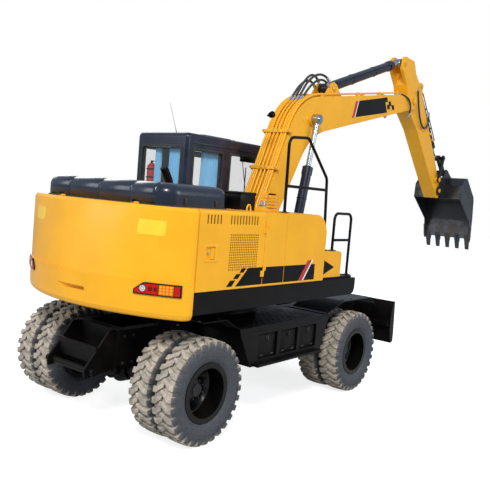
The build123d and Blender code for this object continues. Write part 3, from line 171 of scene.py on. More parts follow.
def bump(tree, shader, height, strength, distance):
    node = tree.nodes.new("ShaderNodeBump")
    node.inputs["Strength"].default_value = strength
    node.inputs["Distance"].default_value = distance
    tree.links.new(height, node.inputs["Height"])
    tree.links.new(node.outputs[0], shader.inputs["Normal"])


def facing(tree, axis):
    place = tree.nodes.new("ShaderNodeTexCoord")
    split = tree.nodes.new("ShaderNodeSeparateXYZ")
    tree.links.new(place.outputs["Normal"], split.inputs[0])
    return split.outputs[axis]


def finish(
    name, base, rough, metal=0.0, coat=0.0, tint=0.08, dust=0.0, dustColor=(0.42, 0.37, 0.30),
    grain=240, relief=0.05, mottle=6, shine=0.5,
):
    # base colour with slow mottling, fine grain, and dust that gathers on tops and in patches
    material, tree, shader, place = startMaterial(name)
    slow = noise(tree, place, mottle, 5)
    fine = noise(tree, place, grain, 3)
    dark = tuple(c * (1 - tint * 2.2) for c in base)
    light = tuple(min(1, c * (1 + tint)) for c in base)
    colour = mix(tree, ramp(tree, slow, 0.3, 0.7), dark, light)
    roughness = ramp(tree, slow, 0.3, 0.7, max(0.02, rough - 0.05), rough + 0.06)
    if dust:
        patches = ramp(tree, noise(tree, place, 2.4, 8), 0.42, 0.72)
        upward = ramp(tree, facing(tree, 2), 0.3, 1.0)
        cover = plus(tree, times(tree, upward, dust), times(tree, patches, dust * 0.55))
        colour = mix(tree, cover, colour, dustColor)
        roughness = plus(tree, roughness, times(tree, cover, 0.45))
    dress(
        tree, shader, colour, roughness,
        Metallic=metal, Coat_Weight=coat, Coat_Roughness=0.12, Specular_IOR_Level=shine,
    )
    bump(tree, shader, fine, relief, 0.0006)
    return material


yellow = finish(
    "yellowPaint", (0.84, 0.400, 0.009), 0.34,
    coat=0.10, tint=0.03, dust=0.04, dustColor=(0.50, 0.32, 0.10), mottle=3, shine=0.30,
)
black = finish(
    "blackPaint", (0.003, 0.0025, 0.0025), 0.34, tint=0.3, dust=0.02, dustColor=(0.10, 0.08, 0.06), shine=0.14
)
frameBlack = finish(
    "frameBlack", (0.003, 0.0025, 0.0025), 0.44,
    tint=0.3, dust=0.04, dustColor=(0.12, 0.10, 0.08), relief=0.12, shine=0.14,
)
rimBlack = finish(
    "rimBlack", (0.003, 0.003, 0.003), 0.22,
    coat=0.1, tint=0.3, dust=0.02, dustColor=(0.12, 0.10, 0.08), shine=0.25,
)
navy = finish(
    "navyPaint", (0.008, 0.014, 0.034), 0.30,
    coat=0.2, tint=0.2, dust=0.02, dustColor=(0.08, 0.10, 0.14), shine=0.3,
)
hoodPaint = finish(
    "hoodPaint", (0.010, 0.018, 0.036), 0.27,
    coat=0.2, tint=0.15, dust=0.02, dustColor=(0.09, 0.12, 0.16), mottle=2, shine=0.4,
)
darkSteel = finish("darkSteel", (0.055, 0.055, 0.058), 0.45, metal=0.7, tint=0.2, dust=0.10, grain=420, relief=0.2)
chrome = finish("chromeRod", (0.36, 0.42, 0.50), 0.20, metal=0.9, tint=0.02, grain=900, relief=0.0)
rubber = finish("blackRubber", (0.016, 0.016, 0.017), 0.62, tint=0.2, dust=0.12, grain=500, relief=0.2)
grey = finish("greyPlastic", (0.055, 0.060, 0.065), 0.5, tint=0.1, dust=0.06)
silver = finish("zincPlate", (0.55, 0.55, 0.54), 0.32, metal=0.9, tint=0.06, grain=600, relief=0.1)
redMark = finish("redMark", (0.45, 0.012, 0.010), 0.35, coat=0.3, tint=0.05)
whiteMark = finish("whiteMark", (0.78, 0.78, 0.76), 0.38, coat=0.3, tint=0.04)
seatCloth = finish("seatCloth", (0.028, 0.028, 0.032), 0.85, tint=0.3, grain=700, relief=0.6)
# near-black for soot, also used as painted shade behind the grilles and inside the exhaust pipe
soot = finish("soot", (0.004, 0.004, 0.004), 0.9, tint=0.2)
signYellow = finish("signYellow", (0.90, 0.56, 0.02), 0.4, coat=0.2, tint=0.03)


def bucketSteel(name):
    # dark worn steel with rust low on the sides and bright scratches at the lip
    material, tree, shader, place = startMaterial(name)
    split = tree.nodes.new("ShaderNodeSeparateXYZ")
    tree.links.new(place, split.inputs[0])
    low = ramp(tree, split.outputs[2], bucketPin[1] - 0.25, bucketPin[1] - 1.0)
    patches = ramp(tree, noise(tree, place, 5, 8), 0.40, 0.66)
    scratch = ramp(tree, noise(tree, place, 30, 4, (0.6, 1.0, 6.0)), 0.60, 0.72)
    rust = times(tree, times(tree, patches, 0.55), low)
    worn = times(tree, scratch, plus(tree, low, 0.06))
    colour = mix(tree, times(tree, low, 0.45), (0.007, 0.008, 0.011), (0.035, 0.044, 0.062))
    colour = mix(tree, rust, colour, (0.10, 0.062, 0.035))
    colour = mix(tree, times(tree, worn, 0.6), colour, (0.30, 0.32, 0.34))
    dress(tree, shader, colour, ramp(tree, patches, 0, 1, 0.30, 0.50), Metallic=times(tree, worn, 0.8))
    bump(tree, shader, noise(tree, place, 90, 6), 0.35, 0.002)
    return material


def tyreRubber(name):
    # tan dust on the tread, grey-blue sidewalls; the tread attribute is 1 on the tread and 0 at the bead
    material, tree, shader, place = startMaterial(name)
    attribute = tree.nodes.new("ShaderNodeAttribute")
    attribute.attribute_name = "tread"
    sideways = ramp(tree, math(tree, "ABSOLUTE", facing(tree, 1)), 0.45, 0.85, 1.0, 0.12)
    tread = times(tree, attribute.outputs["Fac"], sideways)
    patches = ramp(tree, noise(tree, place, 9, 8), 0.35, 0.68)
    fine = ramp(tree, noise(tree, place, 60, 5), 0.30, 0.70)
    cover = times(tree, tread, plus(tree, times(tree, patches, 0.60), 0.45))
    side = mix(tree, fine, (0.030, 0.033, 0.040), (0.062, 0.068, 0.080))
    dust = mix(tree, fine, (0.38, 0.335, 0.27), (0.60, 0.535, 0.435))
    dress(tree, shader, mix(tree, cover, side, dust), ramp(tree, cover, 0, 1, 0.62, 0.95))
    bump(tree, shader, noise(tree, place, 260, 4), 0.4, 0.001)
    return material


def glassPane(name, colour, alpha):
    material, tree, shader, place = startMaterial(name)
    smear = noise(tree, place, 3, 6)
    smeared = mix(tree, ramp(tree, smear, 0.35, 0.7), colour, tuple(c * 0.8 for c in colour))
    dress(tree, shader, smeared, ramp(tree, smear, 0.3, 0.7, 0.02, 0.07), Alpha=alpha, Specular_IOR_Level=0.8)
    return material


def lampLens(name, colour):
    # moulded lens with fine vertical flutes
    material, tree, shader, place = startMaterial(name)
    wave = tree.nodes.new("ShaderNodeTexWave")
    wave.bands_direction = "Y"
    wave.inputs["Scale"].default_value = 60
    tree.links.new(place, wave.inputs["Vector"])
    fluted = mix(tree, wave.outputs["Fac"], tuple(c * 0.75 for c in colour), colour)
    dress(tree, shader, fluted, 0.16, Specular_IOR_Level=0.25)
    bump(tree, shader, wave.outputs["Fac"], 0.3, 0.001)
    return material


def curtainCloth(name):
    material, tree, shader, place = startMaterial(name)
    weave = noise(tree, place, 800, 2)
    faded = mix(tree, ramp(tree, noise(tree, place, 5, 4), 0.3, 0.7), (0.20, 0.55, 0.88), (0.28, 0.66, 0.96))
    dress(tree, shader, faded, 0.85, Sheen_Weight=0.3)
    bump(tree, shader, weave, 0.4, 0.0005)
    return material


worn = bucketSteel("wornSteel")
tyreSkin = tyreRubber("tyreRubber")
pane = glassPane("clearGlass", (0.20, 0.26, 0.28), 0.10)
lensRed = lampLens("lensRed", (0.50, 0.006, 0.003))
lensDark = lampLens("lensDark", (0.16, 0.003, 0.002))
lensOrange = lampLens("lensOrange", (0.80, 0.17, 0.003))
lensAmber = lampLens("lensAmber", (1.0, 0.40, 0.02))
lensWhite = lampLens("lensWhite", (0.80, 0.80, 0.78))
curtain = curtainCloth("curtainCloth")

for material, names in (
    (yellow, "counterweight house_panels door_right door_left tanks step_box boom boom_pipes arm"),
    (black, "upper_frame handrails mudguards side_boxes exhaust dozer_blade rocker"),
    (frameBlack, "chassis_frame axles knuckle_left knuckle_right blade_arms blade_links slew_bearing"),
    (navy, "blade_barrels boom_barrels arm_barrel bucket_barrel cab_shell cab_roof cab_door"),
    (hoodPaint, "hood"),
    (darkSteel, "engine_block tie_rod"),
    (worn, "bucket bucket_link"),
    (chrome, "blade_rods boom_rods arm_rod bucket_rod"),
    (pane, "cab_glass door_glass"),
    (seatCloth, "seat"),
    (rimBlack, "rims_front_left rims_front_right rims_rear_left rims_rear_right"),
):
    for name in names.split():
        nodes[name].data.materials.clear()
        nodes[name].data.materials.append(material)


# Rounded edges on the sheet metal and castings
def bevel(piece, width, segments=2, angle=32):
    modifier = piece.modifiers.new("bevel", "BEVEL")
    modifier.width = width
    modifier.segments = segments
    modifier.limit_method = "ANGLE"
    modifier.angle_limit = radians(angle)


# columns: width in metres, nodes
for width, names in (
    (0.012, "counterweight tanks step_box"),
    (0.005, "house_panels door_right door_left upper_frame chassis_frame side_boxes boom arm dozer_blade"),
    (0.004, "bucket cab_shell cab_roof cab_door axles knuckle_left knuckle_right rocker bucket_link blade_arms"),
    (0.020, "seat"),
):
    for name in names.split():
        bevel(nodes[name], width)

print("stage: frame and materials")


# Mesh helpers
def meshOf(name, build):
    mesh = bpy.data.meshes.new(name)
    shape = bmesh.new()
    build(shape)
    bmesh.ops.recalc_face_normals(shape, faces=shape.faces)
    shape.to_mesh(mesh)
    shape.free()
    return mesh


def shade(mesh, smooth=True):
    for face in mesh.polygons:
        face.use_smooth = smooth


def addMesh(name, body, material, build, smooth=True):
    mesh = meshOf(name, build)
    shade(mesh, smooth)
    mesh.materials.append(material)
    piece = addObject(name, mesh)
    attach(piece, body)
    return piece


def evaluatedMesh(piece):
    bpy.context.view_layer.update()
    return bpy.data.meshes.new_from_object(piece.evaluated_get(bpy.context.evaluated_depsgraph_get()))


def flatShade(piece, angle=40):
    shade(piece.data)
    piece.data.set_sharp_from_angle(angle=radians(angle))
    return piece


def roundOff(piece, width):
    bevel(piece, width)
    mesh = evaluatedMesh(piece)
    piece.modifiers.clear()
    piece.data = mesh
    return flatShade(piece)


def addAll(*rows):
    # columns: name, body, material, shape, rounding of its edges in metres
    for name, body, material, build, rounding in rows:
        piece = addMesh(name, body, material, build)
        if rounding:
            roundOff(piece, rounding)
        else:
            flatShade(piece)


def toMesh(source, name, material, body):
    mesh = evaluatedMesh(source)
    mesh.name = name
    bpy.data.objects.remove(source)
    if not mesh.materials:
        mesh.materials.append(material)
    mesh.materials[0] = material
    shade(mesh)
    piece = addObject(name, mesh)
    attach(piece, body)
    return piece


# Shapes for the detailed pieces; every one adds a closed solid to a bmesh
axisPlaces = {
    "X": lambda u, v, w: (w, u, v),
    "Y": lambda u, v, w: (u, w, v),
    "Z": lambda u, v, w: (u, v, w),
}


def block(shape, x, y, z):
    middle = [(a + b) / 2 for a, b in (x, y, z)]
    size = [abs(b - a) for a, b in (x, y, z)]
    matrix = Matrix.Translation(middle) @ Matrix.Diagonal((*size, 1))
    return bmesh.ops.create_cube(shape, size=1, matrix=matrix)["verts"]


def rod(shape, start, end, radius, sides=24, endRadius=None):
    start, end = Vector(start), Vector(end)
    along = end - start
    turned = along.to_track_quat("Z", "Y").to_matrix().to_4x4()
    bmesh.ops.create_cone(
        shape,
        cap_ends=True,
        segments=sides,
        radius1=radius,
        radius2=radius if endRadius is None else endRadius,
        depth=along.length,
        matrix=Matrix.Translation((start + end) / 2) @ turned,
    )


def peg(shape, axis, centre, low, high, radius, sides=6, endRadius=None):
    # a rod along an axis, between two values on it
    place = axisPlaces[axis]
    rod(shape, place(*centre, low), place(*centre, high), radius, sides, endRadius)


def joinRings(shape, rings, capped=True):
    # walls between rings of as many vertices each, and a lid on the first and the last
    if capped:
        shape.faces.new(rings[0])
        shape.faces.new(rings[-1])
    for one, two in zip(rings, rings[1:]):
        for i in range(len(one)):
            shape.faces.new((one[i - 1], one[i], two[i], two[i - 1]))


def drawRing(shape, outline, level, axis):
    return [shape.verts.new(axisPlaces[axis](u, v, level)) for u, v in outline]


def prism(shape, outline, low, high, axis="Y"):
    # an outline drawn square to the axis and drawn out between two values on it
    joinRings(shape, [drawRing(shape, outline, level, axis) for level in (low, high)])


def collar(shape, outer, inner, low, high, axis):
    # a closed ring between two outlines of equal count
    pairs = ((outer, low), (outer, high), (inner, high), (inner, low))
    rings = [drawRing(shape, outline, level, axis) for outline, level in pairs]
    joinRings(shape, rings + rings[:1], False)


def rectangle(across, up, grow=0.0):
    left, right, low, high = across[0] - grow, across[1] + grow, up[0] - grow, up[1] + grow
    return [(left, low), (right, low), (right, high), (left, high)]


def circle(centre, radius, count):
    return [beyond(centre, (radius * cos(a), radius * sin(a))) for a in around(count)]


def roundedOutline(points, radius, steps=5):
    outline = []
    count = len(points)
    for i in range(count):
        corner = Vector(points[i])
        before = Vector(points[i - 1]) - corner
        after = Vector(points[(i + 1) % count]) - corner
        half = before.angle(after) / 2
        reach = min(radius / tan(half), before.length * 0.49, after.length * 0.49)
        start = corner + before.normalized() * reach
        end = corner + after.normalized() * reach
        for t in (step / steps for step in range(steps + 1)):
            outline.append(tuple(start * (1 - t) ** 2 + corner * 2 * t * (1 - t) + end * t * t))
    return outline


def hoop(shape, centre, normal, radius, thick, sides=48, tubeSides=10):
    turned = Vector(normal).to_track_quat("Z", "Y").to_matrix()
    rings = []
    for angle in around(sides):
        ring = []
        for turn in around(tubeSides):
            reach = radius + thick * cos(turn)
            local = Vector((reach * cos(angle), reach * sin(angle), thick * sin(turn)))
            ring.append(shape.verts.new(Vector(centre) + turned @ local))
        rings.append(ring)
    joinRings(shape, rings + rings[:1], False)


def tube(name, body, material, points, radius, sides=4):
    # a round tube along a smooth spline whose control points are given
    curve = bpy.data.curves.new(name, "CURVE")
    curve.dimensions = "3D"
    spline = curve.splines.new("NURBS")
    spline.points.add(len(points) - 1)
    for point, place in zip(spline.points, points):
        point.co = (*place, 1)
    spline.order_u = 3
    spline.use_endpoint_u = True
    spline.resolution_u = 10
    curve.bevel_depth = radius
    curve.bevel_resolution = sides
    curve.use_fill_caps = True
    return toMesh(addObject(name + "Path", curve), name, material, body)


def bent(points, radius):
    # control points for a tube with tight bends: each inner corner gets a neighbour on either side
    route = [points[0]]
    for before, corner, after in zip(points, points[1:], points[2:]):
        before, corner, after = Vector(before), Vector(corner), Vector(after)
        back = (before - corner).normalized() * radius
        forth = (after - corner).normalized() * radius
        route += [corner + back, corner, corner + forth]
    return route + [points[-1]]


# Tyres: a lathed carcass with two rows of lugs, set round it by one node tree
lugCount = 30
crownRadius = 0.500
carcassHalf = [
    (0.099, 0.262), (0.100, 0.298), (0.110, 0.312), (0.121, 0.330), (0.125, 0.336), (0.127, 0.350), (0.134, 0.370),
    (0.1375, 0.395), (0.1365, 0.420), (0.131, 0.448), (0.122, 0.472), (0.108, 0.489), (0.075, 0.498),
    (0.035, crownRadius),
]
# lug stations; columns: Y, rear edge, front edge, top radius, foot radius
lugStations = [
    (-0.014, 0.036, 0.072, 0.5250, 0.485),
    (0.012, 0.020, 0.068, 0.5250, 0.485),
    (0.046, -0.008, 0.054, 0.5245, 0.480),
    (0.072, -0.030, 0.036, 0.5235, 0.478),
    (0.108, -0.035, 0.031, 0.5195, 0.465),
    (0.126, -0.034, 0.029, 0.5110, 0.452),
    (0.1375, -0.029, 0.023, 0.4800, 0.436),
]
treadFade = (0.440, 0.500)


def markTread(mesh, centre=(0, 0)):
    # 1 on the tread, falling to 0 on the sidewall
    attribute = mesh.attributes.new("tread", "FLOAT", "POINT")
    for vertex, value in zip(mesh.vertices, attribute.data):
        radius = hypot(vertex.co.x - centre[0], vertex.co.z - centre[1])
        value.value = min(1, max(0, (radius - treadFade[0]) / (treadFade[1] - treadFade[0])))


def lugPair():
    # one lug of each row, the second mirrored and half a step on, round an axle at the origin
    draft = 0.004

    def build(shape):
        for turn, shift in ((1, 0), (-1, pi / lugCount)):
            rings = []
            for out, rear, front, top, foot in lugStations:
                corners = ((rear + draft, top), (front - draft, top), (front + draft, foot), (rear - draft, foot))
                ring = []
                for arc, radius in corners:
                    angle = arc / tyreRadius + shift
                    ring.append(shape.verts.new((radius * sin(angle), turn * out, radius * cos(angle))))
                rings.append(ring)
            joinRings(shape, rings)

    piece = addObject("lugPair", meshOf("lugPair", build))
    bevel(piece, 0.004, 1, 35)
    rounded = evaluatedMesh(piece)
    piece.modifiers.clear()
    piece.data = rounded
    markTread(rounded)
    return piece


def ringTree(material):
    # node tree: copies of a part turned round the Y axis and moved to each place on a line, then made real
    tree = bpy.data.node_groups.new("ringOfParts", "GeometryNodeTree")
    identifiers = {}
    for name, kind in (
        ("Geometry", "Geometry"), ("Part", "Object"), ("Count", "Int"),
        ("Centre", "Vector"), ("Gap", "Vector"), ("Phase", "Float"),
    ):
        socket = tree.interface.new_socket(name, in_out="INPUT", socket_type="NodeSocket" + kind)
        identifiers[name] = socket.identifier
    tree.interface.new_socket("Geometry", in_out="OUTPUT", socket_type="NodeSocketGeometry")
    entry, leave, points, instance, info, index, step, turn, angles, shift, second, pair, real, join, paint = (
        tree.nodes.new(kind) for kind in (
            "NodeGroupInput", "NodeGroupOutput", "GeometryNodeMeshLine", "GeometryNodeInstanceOnPoints",
            "GeometryNodeObjectInfo", "GeometryNodeInputIndex", "ShaderNodeMath", "ShaderNodeMath",
            "ShaderNodeCombineXYZ", "GeometryNodeTransform", "GeometryNodeTransform", "GeometryNodeJoinGeometry",
            "GeometryNodeRealizeInstances", "GeometryNodeJoinGeometry", "GeometryNodeSetMaterial",
        )
    )
    step.operation = "DIVIDE"
    step.inputs[0].default_value = 2 * pi
    turn.operation = "MULTIPLY_ADD"
    points.inputs["Offset"].default_value = (0, 0, 0)
    info.transform_space = "ORIGINAL"
    paint.inputs["Material"].default_value = material
    for source, output, target, socket in (
        (entry, "Part", info, "Object"),
        (entry, "Count", points, "Count"),
        (entry, "Count", step, 1),
        (index, 0, turn, 0),
        (step, 0, turn, 1),
        (entry, "Phase", turn, 2),
        (turn, 0, angles, "Y"),
        (points, 0, instance, "Points"),
        (info, "Geometry", instance, "Instance"),
        (angles, 0, instance, "Rotation"),
        (instance, 0, real, 0),
        (real, 0, shift, "Geometry"),
        (entry, "Centre", shift, "Translation"),
        (shift, 0, second, "Geometry"),
        (entry, "Gap", second, "Translation"),
        (shift, 0, pair, 0),
        (second, 0, pair, 0),
        (entry, "Geometry", join, 0),
        (pair, 0, join, 0),
        (join, 0, paint, "Geometry"),
        (paint, 0, leave, 0),
    ):
        tree.links.new(source.outputs[output], target.inputs[socket])
    return tree, identifiers


def addTyres(name, corner, axleX, turn, lugs, tree, identifiers):
    def carcass(shape):
        half = carcassHalf + [(-out, radius) for out, radius in reversed(carcassHalf)]
        for centre in (tyreY, tyreY - twinPitch):
            rings = []
            for angle in around(90):
                ring = []
                for out, radius in half:
                    place = (axleX + radius * sin(angle), turn * (centre + out), tyreRadius + radius * cos(angle))
                    ring.append(shape.verts.new(place))
                rings.append(ring)
            joinRings(shape, rings + rings[:1], False)

    name = "tyres" + name
    mesh = meshOf(name, carcass)
    markTread(mesh, (axleX, tyreRadius))
    source = addObject(name + "Source", mesh)
    modifier = source.modifiers.new("lugs", "NODES")
    modifier.node_group = tree
    for socket, value in (
        ("Part", lugs),
        ("Count", lugCount),
        ("Centre", (axleX, turn * tyreY, tyreRadius)),
        ("Gap", (0.0, -turn * twinPitch, 0.0)),
        ("Phase", radians(4)),
    ):
        modifier[identifiers[socket]] = value
    piece = toMesh(source, name, tyreSkin, "wheels_" + corner)
    flatShade(piece, 30)
    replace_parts(piece, "tyres_" + corner)


# columns: name, corner, axle X, side
wheelCorners = (
    ("FrontLeft", "front_left", frontX, 1),
    ("FrontRight", "front_right", frontX, -1),
    ("RearLeft", "rear_left", rearX, 1),
    ("RearRight", "rear_right", rearX, -1),
)
lugs = lugPair()
lugTree, lugSockets = ringTree(tyreSkin)
for row in wheelCorners:
    addTyres(*row, lugs, lugTree, lugSockets)
bpy.data.objects.remove(lugs)
print("stage: tyres")

# Wheel nuts, the hub's plugs, and the valve of each outer rim
discY = tyreY - twinPitch / 2
# columns: count, ring radius, how far out of the disc, length, radius
hubBolts = (
    (10, 0.158, 0.008, 0.022, 0.015),
    (10, 0.158, 0.030, 0.012, 0.008),
    (8, 0.094, 0.124, 0.009, 0.009),
    (5, 0.040, 0.132, 0.010, 0.009),
)


def addHubFittings(name, corner, axleX, turn):
    def build(shape):
        for count, ring, out, length, size in hubBolts:
            for angle in around(count, 0.5):
                place = (axleX + ring * sin(angle), tyreRadius + ring * cos(angle))
                peg(shape, "Y", place, turn * (discY + out), turn * (discY + out + length), size)
        peg(shape, "Y", (axleX, tyreRadius), turn * (discY + 0.130), turn * (discY + 0.138), 0.062, 32)
        valve = (axleX + 0.16, turn * (discY + 0.02), tyreRadius + 0.150)
        rod(shape, valve, (axleX + 0.19, turn * (discY + 0.12), tyreRadius + 0.175), 0.006, 10)

    flatShade(addMesh("hubFittings" + name, "wheels_" + corner, darkSteel, build))


for row in wheelCorners:
    addHubFittings(*row)


# Levels and lengths of the body, as in the solids
bodyHalf = 1.240
bodyTop = 2.300
bandTop = 1.600
tailEnd = rearX - 0.790
tailRadius = swingX - tailEnd
tailSide = swingX - sqrt(tailRadius**2 - bodyHalf**2)
creaseStep = 0.025
tailLean = 0.105
crownLow = bodyTop - 0.030
proud = 0.0015


def onTail(y, z, out=0.0):
    # a point of the counterweight's bowed back, a step out from its face
    above = z > bandTop
    back = creaseStep + tailLean * (z - bandTop) / (crownLow - bandTop) if above else 0
    half = bodyHalf - (0.004 if above else 0)
    sagitta = tailSide - tailEnd - back
    bow = (half**2 + sagitta**2) / (2 * sagitta)
    reach = sqrt(bow**2 - y**2)
    return Vector((tailEnd + back + bow - reach * (1 + out / bow), y * (1 + out / bow), z))


def tailPatches(shape, near, far, lowAt, highAt, inner, outer, steps):
    # a closed strip on each side of the bowed back; lowAt and highAt give its edges at each Y
    for turn in (1, -1):
        rings = []
        for step in range(steps + 1):
            y = turn * near + (turn * far - turn * near) * step / steps
            corners = ((lowAt, inner), (lowAt, outer), (highAt, outer), (highAt, inner))
            rings.append([shape.verts.new(onTail(y, edge(abs(y)), out)) for edge, out in corners])
        joinRings(shape, rings)


# Tail lamps: a black housing with red, white and orange lenses
lampHigh = bandTop - 0.0003
lampLow = lampHigh - 0.115
lampInner = 0.780
lampOuter = 1.190
lampSlant = 0.090
lampEdge = 0.042
reverseLamp = 0.866


def slantedTop(inset):
    def top(y):
        climb = min(1, max(0, (y - lampInner - inset) / lampSlant))
        return lampLow + lampEdge + (lampHigh - inset - lampLow - lampEdge) * climb

    return top


def addTailLamps():
    def housing(shape):
        tailPatches(shape, lampInner, lampOuter, lambda y: lampLow, slantedTop(0), 0.0006, 0.013, 20)

    def lens(near, far):
        def build(shape):
            tailPatches(shape, near, far, lambda y: lampLow + 0.012, slantedTop(0.012), 0.012, 0.0175, 12)

        return build

    def domes(*rows):
        # columns: Y, height from the middle, radius, how far out it stands
        def build(shape):
            middle = (lampLow + lampHigh) / 2
            for turn in (1, -1):
                for y, rise, radius, out in rows:
                    start, end = (onTail(turn * y, middle + rise, step) for step in (0.016, out))
                    rod(shape, start, end, radius, 28, radius * 0.72)

        return build

    rays = [(reverseLamp + 0.022 * cos(a), 0.022 * sin(a), 0.0072, 0.0245) for a in around(8)]
    cells = [(y, rise, 0.0125, 0.0215) for y in (1.022, 1.050, 1.078, 1.106) for rise in (-0.026, 0.002, 0.028)]
    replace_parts(addMesh("lampHousing", "upper", rimBlack, housing), "tail_lamps")
    for name, material, build in (
        ("lampRed", lensRed, lens(0.794, 1.000)),
        ("lampOrange", lensOrange, lens(1.006, 1.126)),
        ("lampOuter", lensRed, lens(1.132, 1.176)),
        ("lampRing", rimBlack, domes((reverseLamp, 0, 0.040, 0.0195))),
        ("lampReflector", silver, domes((reverseLamp, 0, 0.036, 0.0215))),
        ("lampStar", lensWhite, domes((reverseLamp, 0, 0.011, 0.0245), *rays)),
        ("lampStop", lensDark, domes((0.932, 0.002, 0.024, 0.0235), (0.978, 0.002, 0.020, 0.0235))),
        ("lampTurn", lensAmber, domes(*cells)),
    ):
        piece = addMesh(name, "upper", material, build)
        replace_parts(piece, "tail_lamps")
        flatShade(piece)


addTailLamps()


# Blank yellow plates on the counterweight, with their rivets
plateY = (0.722, 1.000)
plateZ = (2.028, 2.168)


def addTailPlates():
    def plates(shape):
        tailPatches(shape, *plateY, lambda y: plateZ[0], lambda y: plateZ[1], 0.0005, 0.0025, 8)

    def rivets(shape):
        for turn in (1, -1):
            for y in (0.735, 0.987):
                for z in (2.042, 2.154):
                    rod(shape, onTail(turn * y, z, 0.002), onTail(turn * y, z, 0.005), 0.005, 10)

    addMesh("tailPlates", "upper", signYellow, plates, False)
    addMesh("tailPlateRivets", "upper", silver, rivets)


addTailPlates()

# Black bands along the sides, cut where the panels part
bandLow = 1.558
bandHigh = 1.737
bandStart = (0.265, 0.455)
bandEnd = 1.700
# columns: name, body, rear X, front X, side
sidePanels = (
    ("DoorRight", "door_right", 0.000, 0.692, -1),
    ("PanelRight", "upper", 0.702, 1.075, -1),
    ("TankRight", "upper", 1.085, bandEnd, -1),
    ("DoorLeft", "door_left", 0.000, 0.692, 1),
    ("PanelLeft", "upper", 0.702, 1.075, 1),
)


def sideFlat(shape, outline, turn, out=proud):
    face = turn * bodyHalf
    prism(shape, [(rearX + x, z) for x, z in outline], face - turn * 0.001, face + turn * out)


def slantBar(bottom, width, low, high, lean=0.92):
    climb = (high - low) * lean
    return [(bottom, low), (bottom + width, low), (bottom + width + climb, high), (bottom + climb, high)]


def addSideBands():
    for name, body, start, end, turn in sidePanels:

        def band(shape):
            rear = (start, start)
            if start < bandStart[0]:
                rear = bandStart
                for bottom, width, low, high in (
                    (0.125, 0.082, 1.562, 1.622),
                    (0.225, 0.072, 1.634, 1.682),
                    (0.315, 0.064, 1.694, bandHigh),
                ):
                    sideFlat(shape, slantBar(bottom, width, low, high), turn)
            sideFlat(shape, [(rear[0], bandLow), (end, bandLow), (end, bandHigh), (rear[1], bandHigh)], turn)

        addMesh("band" + name, body, black, band, False)
    for name, material, start, width in (("bandRed", redMark, 1.372, 0.078), ("bandWhite", whiteMark, 1.450, 0.026)):

        def mark(shape):
            sideFlat(shape, slantBar(start, width, bandLow, 1.785, 0.78), -1, 2 * proud)

        addMesh(name, "upper", material, mark, False)


addSideBands()

# Fine perforated sheets over the coarse grilles of the solids, with black sheets behind them as painted shade
grilleX = (0.136, 0.592)
grilleZ = (1.713, 2.080)
grilleColumns = 16
grilleRows = 15
grilleHole = 0.0094
shadeScreenFace = 0.0065
# black sheets behind the grille and behind the louvres, painted shade for the dark hollows behind them; columns: X, Z,
# how deep they reach
shadeScreens = (
    ((0.1385, 0.5895), (1.7155, 2.0775), 0.0087),
    ((-0.218, -0.008), (2.171, 2.259), 0.012),
    ((0.122, 0.562), (2.171, 2.259), 0.012),
)


def addGrille(name, body, turn):
    pitch = (grilleX[1] - grilleX[0]) / grilleColumns
    rise = (grilleZ[1] - grilleZ[0]) / grilleRows
    face = turn * (bodyHalf - 0.004)

    def cells(shape):
        # each cell is a ring of faces between its square edge and its round hole
        for cell in range(grilleColumns * grilleRows):
            x = rearX + grilleX[0] + pitch * (cell % grilleColumns + 0.5)
            z = grilleZ[0] + rise * (cell // grilleColumns + 0.5)
            outer, inner = [], []
            for angle in around(8):
                across, up = cos(angle), sin(angle)
                reach = 0.5 / max(abs(across), abs(up))
                outer.append(shape.verts.new((x + across * reach * pitch, face, z + up * reach * rise)))
                inner.append(shape.verts.new((x + grilleHole * across, face, z + grilleHole * up)))
            joinRings(shape, [outer, inner], False)
        bmesh.ops.remove_doubles(shape, verts=shape.verts, dist=0.0002)

    # black sheets behind the holes: painted shade, standing in for the dark space behind the grille and the louvres
    def backing(shape):
        for across, up, deep in shadeScreens:
            block(shape, ahead(*across), (turn * (bodyHalf - deep), turn * (bodyHalf - shadeScreenFace)), up)

    modifier = addMesh(name, body, yellow, cells, False).modifiers.new("sheet", "SOLIDIFY")
    modifier.thickness = 0.0045
    modifier.offset = 0
    addMesh(name + "Backing", body, soot, backing, False)


addGrille("grilleRight", "door_right", -1)
addGrille("grilleLeft", "door_left", 1)


# Door latches: a border round the pocket, and its lock
def addLatches():
    for name, body, turn in (("Right", "door_right", -1), ("Left", "door_left", 1)):
        face = turn * bodyHalf

        def border(shape):
            outer = roundedOutline(rectangle(ahead(-0.220, -0.026), (1.812, 1.976)), 0.016)
            inner = roundedOutline(rectangle(ahead(-0.203, -0.077), (1.832, 1.956)), 0.006)
            collar(shape, outer, inner, face - turn * 0.004, face + turn * 0.004, "Y")

        def lock(shape):
            deep = face - turn * 0.013
            peg(shape, "Y", (rearX - 0.165, 1.894), deep, face - turn * 0.002, 0.014, 24)
            for x in ahead(-0.198, -0.082):
                for z in (1.837, 1.951):
                    peg(shape, "Y", (x, z), deep, face - turn * 0.008, 0.005, 10)

        addAll(
            ("latchBorder" + name, body, yellow, border, 0.0015),
            ("latchLock" + name, body, silver, lock, 0),
        )


addLatches()

# Small pieces on the body's top: filler cap, lifting rings, ribbed cover and the air cleaner's cover
cleanerX = (0.597, 0.853)
cleanerTop = 2.493
tankTop = 2.305


